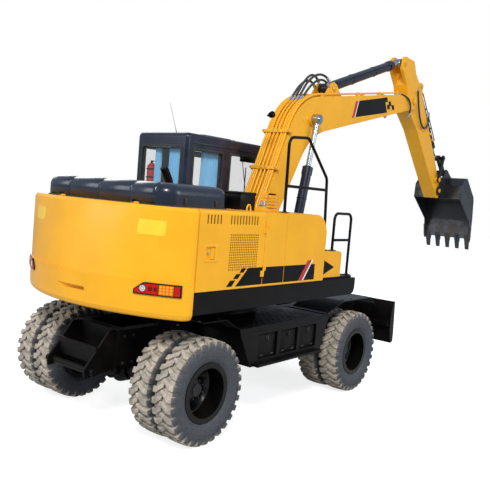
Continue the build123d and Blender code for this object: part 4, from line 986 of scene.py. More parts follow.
def addTopPieces():
    filler = (rearX + 1.190, -0.800)

    def neck(shape):
        block(shape, *((c - 0.065, c + 0.065) for c in filler), (tankTop, tankTop + 0.012))
        peg(shape, "Z", filler, tankTop + 0.010, tankTop + 0.045, 0.048, 28)

    def cap(shape):
        peg(shape, "Z", filler, tankTop + 0.044, tankTop + 0.062, 0.042, 28)
        peg(shape, "Z", filler, tankTop + 0.060, tankTop + 0.112, 0.028, 24, 0.024)
        for place in circle(filler, 0.040, 8):
            peg(shape, "Z", place, tankTop + 0.046, tankTop + 0.061, 0.006, 8)

    def ribs(shape):
        for step in range(6):
            low = tankTop + 0.002 + 0.036 * step
            inset = 0.006 * step
            block(shape, ahead(1.300 + inset, 1.520 - inset), (-0.790 + inset, -0.655 - inset), (low, low + 0.022))
        block(shape, ahead(1.335, 1.485), (-0.760, -0.685), (tankTop, tankTop + 0.200))

    def bolts(shape):
        for step in range(5):
            z = tankTop + 0.031 + 0.036 * step
            for x in ahead(1.312, 1.508):
                peg(shape, "Z", (x, -0.776), z - 0.010, z + 0.004, 0.009)

    addAll(
        ("fillerNeck", "upper", yellow, neck, 0),
        ("fillerCap", "upper", silver, cap, 0),
        ("ribbedCover", "upper", yellow, ribs, 0),
        ("ribbedCoverBolts", "upper", silver, bolts, 0),
    )
    # lifting rings bent from rod; columns: distance from the ring's middle, Z
    for number, y in enumerate((-1.100, 1.100)):
        arch = [(rearX + 0.560 + x, y, z) for x, z in (
            (-0.030, 2.296), (-0.034, 2.366), (0.034, 2.366), (0.030, 2.296),
        )]
        tube(f"liftingRing{number}", "upper", yellow, arch, 0.009)

    def cover(shape):
        # the air cleaner's dark cover with its lid
        start, end = ahead(*cleanerX)
        block(shape, (start, end), (-0.953, -0.647), (2.302, cleanerTop))
        block(shape, (start - 0.006, end + 0.006), (-0.959, -0.641), (cleanerTop - 0.030, cleanerTop + 0.003))

    addAll(("airCleanerCover", "upper", black, cover, 0.008))


addTopPieces()

# The hood's raised fields, seal, latches and grab handle
hoodRear = rearX - 0.480
hoodFront = rearX + 0.470
hoodHalf = 0.950
hoodTop = 2.515
hoodCorner = 0.100
hoodSteps = 8


def hoodProfile(out):
    # the hood's outline over its top from the rear foot to the front foot, a step out from it
    places = [(hoodRear - out, bodyTop + 0.016)]
    for middleX, first in ((hoodRear + hoodCorner, 180), (hoodFront - hoodCorner, 90)):
        for step in range(hoodSteps + 1):
            angle = radians(first - 90 * step / hoodSteps)
            reach = hoodCorner + out
            places.append((middleX + reach * cos(angle), hoodTop - hoodCorner + reach * sin(angle)))
    return places + [(hoodFront + out, bodyTop + 0.016)]


def addHoodPieces():
    def fields(shape):
        # four raised fields with grooves between them; columns: Y and how far the field stands out there
        for turn in (1, -1):
            for stations in (
                ((0.010, -0.001), (0.014, 0.003), (0.022, 0.006), (0.453, 0.006), (0.461, 0.003), (0.465, -0.001)),
                ((0.485, -0.001), (0.489, 0.003), (0.497, 0.006), (0.700, 0.006), (0.760, 0.003), (0.800, -0.001)),
            ):
                rings = []
                for y, out in stations:
                    loop = hoodProfile(out) + hoodProfile(-0.004)[::-1]
                    rings.append([shape.verts.new((x, turn * y, z)) for x, z in loop])
                joinRings(shape, rings, False)
                last = len(rings[0]) - 1
                for ring in (rings[0], rings[-1]):
                    for i in range(last // 2):
                        shape.faces.new((ring[i], ring[i + 1], ring[last - 1 - i], ring[last - i]))

    def seal(shape):
        outline = rectangle((hoodRear, hoodFront), (-hoodHalf, hoodHalf), 0.006)
        prism(shape, roundedOutline(outline, 0.185, 8), bodyTop + 0.0005, bodyTop + 0.011, "Z")

    def latches(shape):
        for turn in (1, -1):
            y = (turn * (hoodHalf - 0.004), turn * (hoodHalf + 0.012))
            for x in (-0.22, 0.22):
                block(shape, ahead(x - 0.020, x + 0.020), y, (bodyTop + 0.020, bodyTop + 0.085))

    addMesh("hoodPanels", "hood", hoodPaint, fields)
    addAll(("hoodLatches", "hood", rubber, latches, 0.004), ("hoodSeal", "upper", rubber, seal, 0))
    handle = [(hoodFront + x, y, hoodTop + z) for x, y, z in (
        (-0.05, -0.14, -0.075), (0.020, -0.14, -0.060), (0.020, 0.14, -0.060), (-0.05, 0.14, -0.075),
    )]
    tube("hoodHandle", "hood", rubber, bent(handle, 0.03), 0.009)


addHoodPieces()


# Exhaust: a clamp, a foot ring and the dark mouth, a black disc that stands for the pipe's soot and the painted shade
# inside it
def addExhaustPieces():
    stack = (rearX + 0.820, 0.330)

    def clamp(shape):
        peg(shape, "Z", stack, 2.335, 2.360, 0.053, 32)
        block(shape, (stack[0] + 0.045, stack[0] + 0.075), (stack[1] - 0.012, stack[1] + 0.012), (2.336, 2.359))
        peg(shape, "Z", stack, bodyTop, bodyTop + 0.010, 0.085, 32)

    # a thin black disc across the pipe's end: soot, and painted shade where the hollow pipe would be dark
    def mouth(shape):
        end = Vector((rearX + 0.710, stack[1], 2.705))
        along = Vector((-0.110, 0, 0.165)).normalized()
        rod(shape, end - along * 0.002, end + along * 0.0015, 0.043, 32)

    addAll(("exhaustClamp", "upper", darkSteel, clamp, 0))
    addMesh("exhaustMouth", "upper", soot, mouth)


addExhaustPieces()
print("stage: body")

# Cab: window rubbers, handles, wiper, roof pieces and aerial
cabRear, cabFront = ahead(1.092, 2.690)
cabRight, cabLeft = 0.350, 1.240
cabTop = 3.170
sideSill = (1.950, 2.980)
railInset = 0.082
railHeight = 2.992
floorTop = 1.4503
seatX, seatY = rearX + 1.700, 0.800

# columns: name, body, axis, wall, outward turn, limits across, limits up
windows = (
    ("windowRightRear", "upper", "Y", cabRight, -1, ahead(1.220, 1.780), sideSill),
    ("windowRightFront", "upper", "Y", cabRight, -1, ahead(1.930, 2.580), sideSill),
    ("windowLeftRear", "upper", "Y", cabLeft, 1, ahead(1.210, 1.545), sideSill),
    ("windowRear", "upper", "X", cabRear, -1, (0.440, 1.150), (2.050, 3.000)),
    ("windscreen", "upper", "X", cabFront, 1, (0.430, 1.160), (1.750, 3.030)),
    ("windowDoor", "cab_door", "Y", cabLeft - 0.004, 1, ahead(1.690, 2.550), (1.700, 2.960)),
)


def addRubbers():
    for name, body, axis, wall, turn, across, up in windows:

        def build(shape):
            outer = roundedOutline(rectangle(across, up, 0.013), 0.035)
            inner = roundedOutline(rectangle(across, up, -0.014), 0.030)
            collar(shape, outer, inner, wall - turn * 0.022, wall + turn * 0.005, axis)

        addAll((name + "Rubber", body, rubber, build, 0.002))


addRubbers()


def addCabOutside():
    def handle(shape):
        block(shape, ahead(2.430, 2.590), (cabLeft - 0.006, cabLeft + 0.004), (1.575, 1.635))
        for x in ahead(2.450, 2.570):
            peg(shape, "Y", (x, 1.605), cabLeft, cabLeft + 0.030, 0.010, 12)
        block(shape, ahead(2.436, 2.584), (cabLeft + 0.024, cabLeft + 0.036), (1.592, 1.618))

    def wiper(shape):
        block(shape, (cabFront - 0.004, cabFront + 0.020), (0.760, 0.840), (3.040, 3.085))
        rod(shape, (cabFront + 0.022, 0.800, 3.062), (cabFront + 0.024, 0.690, 2.560), 0.006, 10)
        peg(shape, "Z", (cabFront + 0.010, 0.690), 2.860, 2.330, 0.006, 8)
        block(shape, (cabFront - 0.002, cabFront + 0.009), (0.687, 0.693), (2.335, 2.855))

    def hatch(shape):
        outer = roundedOutline(rectangle(ahead(1.520, 2.180), (0.480, 1.110)), 0.060)
        prism(shape, outer, cabTop - 0.004, cabTop + 0.014, "Z")
        inner = roundedOutline(rectangle(ahead(1.560, 2.140), (0.520, 1.070)), 0.050)
        prism(shape, inner, cabTop + 0.010, cabTop + 0.026, "Z")

    def bolts(shape):
        for x in ahead(1.545, 1.755, 1.945, 2.155):
            for y in (0.500, 1.090):
                peg(shape, "Z", (x, y), cabTop + 0.010, cabTop + 0.021, 0.009)

    def aerial(shape):
        foot = Vector((rearX + 1.460, 0.910, cabTop - 0.003))
        # columns: start and end from the foot, radius at each, sides
        for start, end, radius, endRadius, sides in (
            ((0, 0, 0), (0, 0, 0.030), 0.020, 0.012, 20),
            ((0, 0, 0.028), (-0.024, 0, 0.090), 0.006, 0.004, 10),
            ((-0.023, 0, 0.086), (-0.170, -0.010, 0.405), 0.003, 0.0015, 8),
        ):
            rod(shape, foot + Vector(start), foot + Vector(end), radius, sides, endRadius)

    def workLamp(shape):
        block(shape, ahead(2.120, 2.440), (cabRight - 0.028, cabRight - 0.002), (2.905, 2.985))
        block(shape, ahead(2.180, 2.380), (cabRight - 0.010, cabRight + 0.004), (2.955, 2.985))

    def gutter(shape):
        for y, turn in ((cabRight, -1), (cabLeft, 1)):
            block(shape, (cabRear + 0.110, cabFront - 0.060), (y - turn * 0.006, y + turn * 0.012), (3.046, 3.058))

    addAll(
        ("doorHandle", "cab_door", rubber, handle, 0.003),
        ("wiper", "upper", rubber, wiper, 0),
        ("roofHatch", "upper", navy, hatch, 0.004),
        ("roofHatchBolts", "upper", darkSteel, bolts, 0),
        ("aerial", "upper", rubber, aerial, 0),
        ("cabWorkLamp", "upper", black, workLamp, 0.012),
        ("cabGutters", "upper", navy, gutter, 0.003),
    )
    rail = [(rearX + 2.655, cabLeft + out, z) for out, z in (
        (-0.006, 1.780), (0.058, 1.800), (0.058, 2.560), (-0.006, 2.580),
    )]
    tube("cabGrabRail", "upper", rubber, bent(rail, 0.05), 0.013)


addCabOutside()


# Inside the cab: floor mat, columns, levers, screen, extinguisher and curtains
def addCabInside():
    consoles = (seatY - 0.300, seatY + 0.300)

    def mat(shape):
        block(shape, ahead(1.180, 2.600), (0.420, 1.170), (floorTop - 0.001, floorTop + 0.008))
        for step in range(17):
            x = rearX + 2.130 + 0.026 * step
            block(shape, (x, x + 0.012), (0.500, 1.090), (floorTop + 0.006, floorTop + 0.012))

    def controls(shape):
        # steering column, pedals and the levers on the consoles
        rod(shape, (rearX + 2.480, seatY, floorTop + 0.004), (rearX + 2.330, seatY, 2.080), 0.048, 24, 0.034)
        rod(shape, (rearX + 2.335, seatY, 2.060), (rearX + 2.322, seatY, 2.114), 0.040, 24)
        for y in (seatY - 0.150, seatY + 0.150):
            block(shape, ahead(2.400, 2.520), (y - 0.050, y + 0.050), (1.560, 1.575))
            rod(shape, (rearX + 2.470, y, floorTop + 0.004), (rearX + 2.460, y, 1.565), 0.016, 12)
        for y in consoles:
            # columns: X from the seat and Z of each end, radius at each end, sides
            for start, end, radius, endRadius, sides in (
                ((0.420, 2.002), (0.420, 2.032), 0.040, 0.026, 20),
                ((0.420, 2.026), (0.428, 2.112), 0.007, 0.007, 10),
                ((0.427, 2.104), (0.438, 2.212), 0.019, 0.026, 16),
            ):
                ends = ((seatX + x, y, z) for x, z in (start, end))
                rod(shape, *ends, radius, sides, endRadius)
            knob = Matrix.Translation((seatX + 0.439, y, 2.212))
            bmesh.ops.create_uvsphere(shape, u_segments=16, v_segments=8, radius=0.026, matrix=knob)

    def wheel(shape):
        centre = Vector((rearX + 2.318, seatY, 2.128))
        normal = Vector((-0.235, 0, 1)).normalized()
        hoop(shape, centre, normal, 0.185, 0.014)
        side = Vector((0, 1, 0))
        front = side.cross(normal)
        for angle in around(3):
            out = front * cos(angle) + side * sin(angle)
            rod(shape, centre + out * 0.030 - normal * 0.010, centre + out * 0.180, 0.010, 10)
        rod(shape, centre - normal * 0.030, centre + normal * 0.004, 0.044, 24)

    def consoleTops(shape):
        for y in consoles:
            outline = rectangle((seatX + 0.010, seatX + 0.530), (y - 0.052, y + 0.052))
            prism(shape, roundedOutline(outline, 0.030), 1.985, 2.008, "Z")

    def screen(shape):
        rod(shape, (rearX + 2.560, 0.440, 1.900), (rearX + 2.540, 0.480, 2.140), 0.014, 12)
        verts = block(shape, (-0.022, 0.022), (-0.120, 0.120), (-0.085, 0.085))
        place = Matrix.Translation((rearX + 2.540, 0.520, 2.220)) @ Matrix.Rotation(-0.35, 4, "Z")
        bmesh.ops.transform(shape, matrix=place, verts=verts)

    bottle = (cabRear + 0.125, 1.080)

    def extinguisher(shape):
        peg(shape, "Z", bottle, 2.530, 2.745, 0.056, 28)
        peg(shape, "Z", bottle, 2.745, 2.780, 0.056, 28, 0.024)

    def extinguisherTop(shape):
        peg(shape, "Z", bottle, 2.778, 2.808, 0.017, 16)
        block(shape, (bottle[0] - 0.010, bottle[0] + 0.070), (1.070, 1.090), (2.800, 2.812))
        for z in (2.585, 2.690):
            collar(shape, circle(bottle, 0.060, 28), circle(bottle, 0.0555, 28), z, z + 0.018, "Z")
            block(shape, (cabRear + 0.048, bottle[0] - 0.052), (1.068, 1.092), (z, z + 0.018))

    def rails(shape):
        peg(shape, "Y", (cabRear + railInset, railHeight), 0.425, 1.165, 0.007, 10)
        peg(shape, "X", (cabRight + railInset, railHeight), *ahead(1.240, 1.920), 0.007, 10)

    addAll(
        ("floorMat", "upper", rubber, mat, 0),
        ("cabControls", "upper", black, controls, 0),
        ("steeringWheel", "upper", black, wheel, 0),
        ("consoleTops", "upper", grey, consoleTops, 0.004),
        ("screen", "upper", black, screen, 0.005),
        ("extinguisher", "upper", redMark, extinguisher, 0),
        ("extinguisherTop", "upper", black, extinguisherTop, 0),
        ("curtainRails", "upper", silver, rails, 0),
    )


addCabInside()

# columns: name, axis that it hangs across, place on the other axis, start, end, bottom, pleats
curtains = (
    ("curtainRearRight", "Y", cabRear + railInset, 0.514, 0.705, 2.330, 7),
    ("curtainRearLeft", "Y", cabRear + railInset, 0.870, 0.960, 2.330, 4),
    ("curtainRight", "X", cabRight + railInset, *ahead(1.470, 1.760), 2.250, 10),
)


def addCurtain(name, axis, place, start, end, bottom, pleats):
    top = 2.986
    columns, rows = pleats * 12, 24
    middle = (start + end) / 2

    def point(column, row):
        u, v = column / columns, row / rows
        # pleats are tight and even at the rail, and wander and open out towards the hem
        spread = 1 + 0.10 * v
        depth = (0.017 + 0.003 * sin(7 * u + 1.3)) * (1 - 0.10 * v)
        wave = 2 * pi * (pleats * u + 0.06 * v * sin(11 * u))
        along = middle + (start + (end - start) * u - middle) * spread
        across = place + depth * sin(wave) + 0.006 * v * sin(5 * u + 2 * v)
        z = top + (bottom - top) * v + 0.004 * v * sin(3 * wave / pleats)
        return Vector((across, along, z) if axis == "Y" else (along, across, z))

    def build(shape):
        grid = [[shape.verts.new(point(i, j)) for i in range(columns + 1)] for j in range(rows + 1)]
        for j in range(rows):
            for i in range(columns):
                shape.faces.new((grid[j][i], grid[j][i + 1], grid[j + 1][i + 1], grid[j + 1][i]))

    piece = addMesh(name, "upper", curtain, build)
    modifier = piece.modifiers.new("thickness", "SOLIDIFY")
    modifier.thickness = 0.0016
    modifier.offset = 0


for row in curtains:
    addCurtain(*row)


# Seat: a frame, and three pads swollen by a cloth simulation
def addSeatFrame():
    # columns: X from the seat's rear, half the width, Z
    slabs = [
        ((0.080, 0.400), 0.340, (1.642, 1.735)),
        ((0.060, 0.420), 0.180, (floorTop, 1.470)),
        ((0.000, 0.480), 0.230, (1.735, 1.775)),
    ]
    for step in range(6):
        # folds of the bellows
        z = 1.470 + 0.029 * step
        inset = 0.012 + 0.010 * (step % 2)
        slabs.append(((0.060 + inset, 0.420 - inset), 0.180 - inset, (z - 0.001, z + 0.029)))

    def build(shape):
        for (rear, front), half, up in slabs:
            block(shape, (seatX + rear, seatX + front), (seatY - half, seatY + half), up)
        for turn in (-1, 1):
            y = seatY + turn * 0.300
            block(shape, (seatX + 0.020, seatX + 0.520), (y - 0.045, y + 0.045), (1.700, 1.990))
            y = seatY + turn * 0.060
            rod(shape, (seatX - 0.095, y, 2.440), (seatX - 0.118, y, 2.560), 0.007, 10)

    frameOf = roundOff(addMesh("seatFrame", "upper", grey, build), 0.005)
    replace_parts(frameOf, "seat")


padSwell = 0.014
clothFrames = 20
seamDepth = 0.009
seatPivot = (seatX, seatY, 1.870)
sideSeams = ((1, 0.660), (1, 0.940))
# columns: name, limits along X, Y and Z, lean, rounding, largest swell, sewn channels (axis, place)
seatPads = (
    ("seatCushion", ahead(1.690, 2.180), (0.570, 1.030), (1.778, 1.862), 0.03, 0.036, padSwell,
     (*sideSeams, (0, rearX + 1.900))),
    ("seatBack", ahead(1.672, 1.752), (0.572, 1.028), (1.905, 2.462), -0.17, 0.036, padSwell,
     (*sideSeams, (2, 2.090), (2, 2.270))),
    ("seatHeadrest", ahead(1.675, 1.742), (0.690, 0.910), (2.520, 2.660), -0.17, 0.030, 0.012, ()),
)


def addPad(name, x, y, z, lean, rounding, cap, channels):
    turned = Matrix.Rotation(lean, 3, "Y")

    def build(shape):
        block(shape, x, y, z)
        bmesh.ops.bevel(shape, geom=shape.edges[:], offset=rounding, segments=5, profile=0.5, affect="EDGES")
        bmesh.ops.rotate(shape, verts=shape.verts[:], cent=seatPivot, matrix=turned)

    pad = addMesh(name, "upper", seatCloth, build)
    remesh = pad.modifiers.new("remesh", "REMESH")
    remesh.mode = "VOXEL"
    remesh.voxel_size = 0.008
    pad = toMesh(pad, name, seatCloth, "upper")
    points = pad.data.vertices
    start = [point.co.copy() for point in points]
    moved = start
    cloth = pad.modifiers.new("cloth", "CLOTH")
    cloth.settings.use_pressure = True
    cloth.settings.uniform_pressure_force = 4
    cloth.settings.effector_weights.gravity = 0
    for number in range(1, clothFrames + 1):
        bpy.context.scene.frame_set(number)
    swollen = pad.evaluated_get(bpy.context.evaluated_depsgraph_get())
    moved = [point.co.copy() for point in swollen.data.vertices]
    pad.modifiers.remove(cloth)
    bpy.context.scene.frame_set(1)
    upright = turned.transposed()
    pivot = Vector(seatPivot)
    middle = Vector([(a + b) / 2 for a, b in (x, y, z)])
    for point, old, new in zip(points, start, moved):
        move = new - old
        if move.length > cap:
            move *= cap / move.length
        # sewn channels that run across and along the face
        local = upright @ (old - pivot) + pivot
        sunk = sum(seamDepth * 2.718 ** -(((local[axis] - value) / seamDepth) ** 2) for axis, value in channels)
        inward = turned @ (middle - local)
        point.co = old + move + inward.normalized() * min(sunk, seamDepth)
    finer = pad.modifiers.new("finer", "SUBSURF")
    finer.levels = 1
    finer.render_levels = 1


addSeatFrame()
for row in seatPads:
    addPad(*row)
print("stage: cab")

# Boom, arm and bucket: pin caps, cylinder fittings, marks, hoses, pipes, clamps and tooth adapters
armBasePin, armRodPin = (-0.530, 4.120), (1.720, 4.960)
boomBasePin, boomRodPin = (-1.510, 1.520), (-1.100, 3.585)
curlBasePin, curlRodPin = (2.540, 4.695), (3.680, 3.500)
rockerPin = (3.560, 3.070)


def onPin(point, y):
    return Vector((point[0], y, point[1]))


# columns: name, body, pin, how far out its end is, cap radius
pinEnds = (
    ("tip", "boom", tipPin, 0.198, 0.060),
    ("armBase", "boom", armBasePin, 0.140, 0.046),
    ("boomRod", "boom", boomRodPin, 0.206, 0.048),
    ("armRod", "arm", armRodPin, 0.146, 0.046),
    ("rocker", "arm", rockerPin, 0.208, 0.044),
    ("curlBase", "arm", curlBasePin, 0.110, 0.042),
    ("curlRod", "rocker", curlRodPin, 0.208, 0.042),
    ("foot", "upper", footPin, 0.232, 0.062),
    ("boomBase", "upper", boomBasePin, 0.336, 0.054),
)


def addPinCaps():
    for name, body, point, out, radius in pinEnds:

        def caps(shape):
            for turn in (1, -1):
                peg(shape, "Y", point, turn * (out - 0.004), turn * (out + 0.007), radius, 32)
                peg(shape, "Y", point, turn * (out + 0.006), turn * (out + 0.011), radius * 0.55, 28)

        def bolts(shape):
            for turn in (1, -1):
                for angle in around(4, 0.5):
                    place = beyond(point, (radius * 0.76 * cos(angle), radius * 0.76 * sin(angle)))
                    peg(shape, "Y", place, turn * (out + 0.005), turn * (out + 0.013), 0.008)

        material = darkSteel if body in ("rocker", "upper") else yellow
        addAll((name + "Caps", body, material, caps, 0.0015), (name + "CapBolts", body, silver, bolts, 0))


addPinCaps()


def dressCylinder(name, body, base, tip, y, radius, rodRadius, last, upward):
    # the gland's bolts and wiper, two ports, two bands, and a hard pipe along the barrel
    start = onPin(base, y)
    along = (onPin(tip, y) - start).normalized()
    out = Vector(upward)
    out = (out - along * out.dot(along)).normalized()
    other = along.cross(out)
    first = radius + 0.130
    clear = last - radius * 1.6

    def bar(shape, place, way, low, high, size, sides=6):
        rod(shape, place + way * low, place + way * high, size, sides)

    def glands(shape):
        bar(shape, start, along, last - 0.002, last + 0.010, rodRadius + 0.022, 32)
        bar(shape, start, along, last + 0.008, last + 0.016, rodRadius + 0.009, 32)
        for angle in around(8, 0.5):
            place = start + (out * cos(angle) + other * sin(angle)) * radius * 0.93
            bar(shape, place, along, last - 0.004, last + 0.009, 0.007)

    def ports(shape):
        for distance in (first, clear - 0.050):
            bar(shape, start + along * distance, out, radius - 0.010, radius + 0.026, 0.024)
        for share in (0.3, 0.7):
            foot = start + along * (first + (clear - first) * share)
            hoop(shape, foot, along, radius, 0.007, 36, 8)
            bar(shape, foot, out, radius, radius + 0.030, 0.013)

    addAll((name + "Gland", body, darkSteel, glands, 0), (name + "Ports", body, navy, ports, 0))
    # columns: how far along the barrel and how far out of it
    stretch = [start + along * distance + out * (radius + rise) for distance, rise in (
        (clear - 0.050, 0.020),
        (clear - 0.110, 0.022),
        (clear - 0.170, 0.022),
        (first + 0.110, 0.022),
        (first + 0.050, 0.022),
        (first, 0.020),
    )]
    tube(name + "Pipe", body, navy, stretch, 0.009)


# columns: name, body, base pin, rod pin, Y, radius, rod radius, where the barrel ends, side of the pipe
cylinders = (
    ("boomRight", "boom_barrels", boomBasePin, boomRodPin, -0.262, 0.066, 0.036, 1.420, (1, 0, 0.3)),
    ("boomLeft", "boom_barrels", boomBasePin, boomRodPin, 0.262, 0.066, 0.036, 1.420, (1, 0, 0.3)),
    ("armCylinder", "arm_barrel", armBasePin, armRodPin, 0.0, 0.075, 0.042, 2.100, (0, -1, 0.6)),
    ("bucketCylinder", "bucket_barrel", curlBasePin, curlRodPin, 0.0, 0.064, 0.034, 1.390, (0.6, -0.8, 0.3)),
)
for row in cylinders:
    dressCylinder(*row)


# Marks on the boom's sides and the tank: plain dark fields with red and white slants, and no lettering
def addMarks():
    def marks(*outlines, sides=(1, -1), y=0.180):
        def build(shape):
            for outline in outlines:
                for turn in sides:
                    corners = [(rearX + x, z) for x, z in outline]
                    prism(shape, corners, turn * y - turn * 0.0006, turn * y + turn * 0.0012)

        return build

    squares = (
        [(x, z), (x + 0.085, z + 0.020), (x + 0.045, z + 0.090), (x - 0.040, z + 0.070)]
        for x, z in ((5.130, 4.166), (5.270, 4.122), (5.225, 4.060), (5.390, 4.080))
    )
    addAll(
        ("boomField", "boom", black, marks([(4.187, 3.787), (4.262, 4.049), (5.090, 4.233), (5.215, 4.009)]), 0),
        ("boomSquares", "boom", black, marks(*squares), 0),
        ("boomRed", "boom", redMark, marks([(4.087, 3.760), (4.158, 3.779), (4.232, 4.042), (4.160, 4.028)]), 0),
        ("boomWhite", "boom", whiteMark, marks([(4.163, 3.780), (4.182, 3.786), (4.257, 4.048), (4.237, 4.043)]), 0),
        ("stepMark", "upper", black, marks([(1.926, 1.783), (2.211, 1.677), (1.959, 1.590)], sides=(-1,), y=1.200), 0),
    )


addMarks()

# Hoses, each set between two fittings on the same piece
rightAndLeft = (("Right", -1), ("Left", 1))
# columns: name with a gap for its side, body, radius, sides, points (X from the rear axle, Y, Z)
hoses = (
    ("armHose{}", "boom", 0.017, rightAndLeft, (
        (2.806, 0.031, 3.838), (2.885, 0.031, 3.930), (3.010, 0.030, 4.110),
        (3.190, 0.052, 4.250), (3.380, 0.080, 4.275), (3.470, 0.092, 4.215))),
    ("armHose{}Low", "boom", 0.017, rightAndLeft, (
        (2.806, 0.092, 3.838), (2.885, 0.092, 3.920), (3.000, 0.098, 4.055),
        (3.170, 0.102, 4.170), (3.350, 0.118, 4.190), (3.430, 0.118, 4.130))),
    ("tipHose{}", "boom", 0.016, rightAndLeft, (
        (5.600, 0.158, 4.372), (5.760, 0.170, 4.400), (5.930, 0.205, 4.360),
        (6.020, 0.215, 4.250), (6.010, 0.216, 4.130), (5.950, 0.220, 4.060))),
    ("armLoop{}", "arm", 0.016, (("", -1),), (
        (6.440, 0.128, 4.620), (6.400, 0.160, 4.520), (6.430, 0.172, 4.320), (6.560, 0.176, 4.060),
        (6.740, 0.176, 3.930), (6.900, 0.172, 4.010), (6.980, 0.160, 4.150), (7.010, 0.128, 4.250))),
    ("bucketHose{}", "arm", 0.015, (("", 1),), (
        (6.560, 0.128, 4.640), (6.540, 0.165, 4.520), (6.640, 0.174, 4.380), (6.800, 0.168, 4.330),
        (6.900, 0.128, 4.330))),
)


def addHose(name, body, radius, places):
    def fittings(shape):
        for end, beside in ((places[0], places[1]), (places[-1], places[-2])):
            along = (beside - end).normalized()
            rod(shape, end - along * 0.030, end + along * 0.030, radius * 1.45, 6)
            rod(shape, end + along * 0.028, end + along * 0.060, radius * 1.18, 20)

    tube(name, body, rubber, places, radius, 5)
    addAll((name + "Fittings", body, silver, fittings, 0))


for name, body, radius, hoseSides, points in hoses:
    for side, turn in hoseSides:
        addHose(name.format(side), body, radius, [Vector((rearX + x, turn * y, z)) for x, y, z in points])

# Thick pipes along the boom's back between the solids' own, and bars across them
backFoot = beyond(footPin, (-0.1195, 0.0512))
backUnit = (0.394, 0.919)
barWidth = 0.048
barPlaces = (0.556, 1.146, 1.700)


def onBack(along, out):
    step = (backUnit[0] * along - backUnit[1] * out, backUnit[1] * along + backUnit[0] * out)
    return beyond(backFoot, step)


def addBackPipes():
    # the pipes' bend at the boom's knee: its centre, radius, and the angles where it starts and ends
    centre, reach = beyond(footPin, (1.355, 1.4109)), 0.852
    first, innerLast, outerLast = 66.8, 31.8, 10.3
    for number, y in enumerate((-0.158, -0.092, -0.031, 0.031, 0.092, 0.158)):
        points = [onPin(onBack(along, 0.032), y) for along in (0.52, 1.75)]
        last = innerLast if abs(y) < 0.1 else outerLast
        for step in range(9):
            angle = radians(first + (last - first) * step / 8)
            points.append(onPin(beyond(centre, (-reach * sin(angle), reach * cos(angle))), y))
        tube(f"backPipe{number}", "boom", yellow, points, 0.0165, 3)

    def bars(shape):
        for along in barPlaces:
            corners = rectangle((along, along + barWidth), (0.044, 0.058))
            prism(shape, [onBack(*corner) for corner in corners], -0.212, 0.212)
            low, high = (onBack(along + barWidth / 2, out) for out in (-0.014, 0.062))
            for y in (0.204, -0.204):
                rod(shape, onPin(low, y), onPin(high, y), 0.022, 20)

    def barBolts(shape):
        for along in barPlaces:
            low, high = (onBack(along + barWidth / 2, out) for out in (0.056, 0.070))
            for y in (-0.204, -0.036, 0.036, 0.204):
                rod(shape, onPin(low, y), onPin(high, y), 0.011, 6)

    addAll(("backBars", "boom", yellow, bars, 0.003), ("backBarBolts", "boom", silver, barBolts, 0))


addBackPipes()


def addArmPieces():
    clamps = [(rearX + x, z) for x, z in ((6.996, 3.990), (7.140, 3.895), (7.284, 3.800))]

    def clampRow(shape):
        # clamps that hold the pipes to the arm's right side
        for x, z in clamps:
            block(shape, (x - 0.026, x + 0.026), (-0.158, -0.128), (z - 0.020, z + 0.020))

    def clampBolts(shape):
        for x, z in clamps:
            for shift in (-0.014, 0.014):
                peg(shape, "Y", (x + shift, z), -0.156, -0.164, 0.007)

    def tongues(shape):
        # stop plates on the boom's back
        for x, z in ((3.560, 4.015), (4.620, 4.206), (5.250, 4.320)):
            block(shape, ahead(x - 0.016, x + 0.016), (-0.060, 0.060), (z - 0.004, z + 0.007))

    def clipLamp(shape):
        spot = Vector((rearX + 1.960, -0.180, 3.490))
        rod(shape, spot + Vector((0, 0.002, 0)), spot + Vector((0, -0.030, 0)), 0.012, 12)
        rod(shape, spot + Vector((-0.020, -0.058, 0)), spot + Vector((0.030, -0.058, 0.016)), 0.036, 24, 0.044)

    def clipLens(shape):
        spot = Vector((rearX + 1.990, -0.238, 3.506))
        rod(shape, spot, spot + Vector((0.007, 0, 0.002)), 0.038, 24)

    addAll(
        ("armClamps", "arm", yellow, clampRow, 0.004),
        ("armClampBolts", "arm", silver, clampBolts, 0),
        ("boomTabs", "boom", yellow, tongues, 0.003),
        ("boomLamp", "boom", black, clipLamp, 0.003),
        ("boomLampLens", "boom", lensWhite, clipLens, 0),
    )


addArmPieces()


# Bucket: adapters over the teeth's roots, wear strips and bolts on the side cutters
def addBucketPieces():
    teeth = [0.2115 * number for number in range(-2, 3)]

    def fromBucket(*points):
        return [beyond(bucketPin, point) for point in points]

    def adapters(shape):
        outline = fromBucket((1.060, -0.850), (1.146, -0.832), (1.164, -0.930), (1.170, -1.010), (1.078, -0.975))
        for y in teeth:
            prism(shape, outline, y - 0.048, y + 0.048)

    def toothPins(shape):
        for y in teeth:
            peg(shape, "Y", *fromBucket((1.122, -0.955)), y - 0.056, y + 0.056, 0.012, 12)

    def strips(shape):
        for y in (-0.330, 0.0, 0.330):
            for start, end in (((1.064, -0.060), (1.094, -0.160)), ((1.094, -0.160), (1.133, -0.550))):
                a, b = Vector(start), Vector(end)
                out = Vector((-(b - a).y, (b - a).x)).normalized() * -0.009
                prism(shape, fromBucket(a, b, b - out, a - out), y - 0.040, y + 0.040)

    def cutterBolts(shape):
        for turn in (1, -1):
            for place in fromBucket((1.020, -0.730), (1.050, -0.800), (1.070, -0.870)):
                peg(shape, "Y", place, turn * 0.500, turn * 0.516, 0.014)

    addAll(
        ("toothAdapters", "bucket", worn, adapters, 0.006),
        ("toothPins", "bucket", silver, toothPins, 0),
        ("bucketStrips", "bucket", worn, strips, 0.003),
        ("cutterBolts", "bucket", darkSteel, cutterBolts, 0),
    )


addBucketPieces()
print("stage: boom")


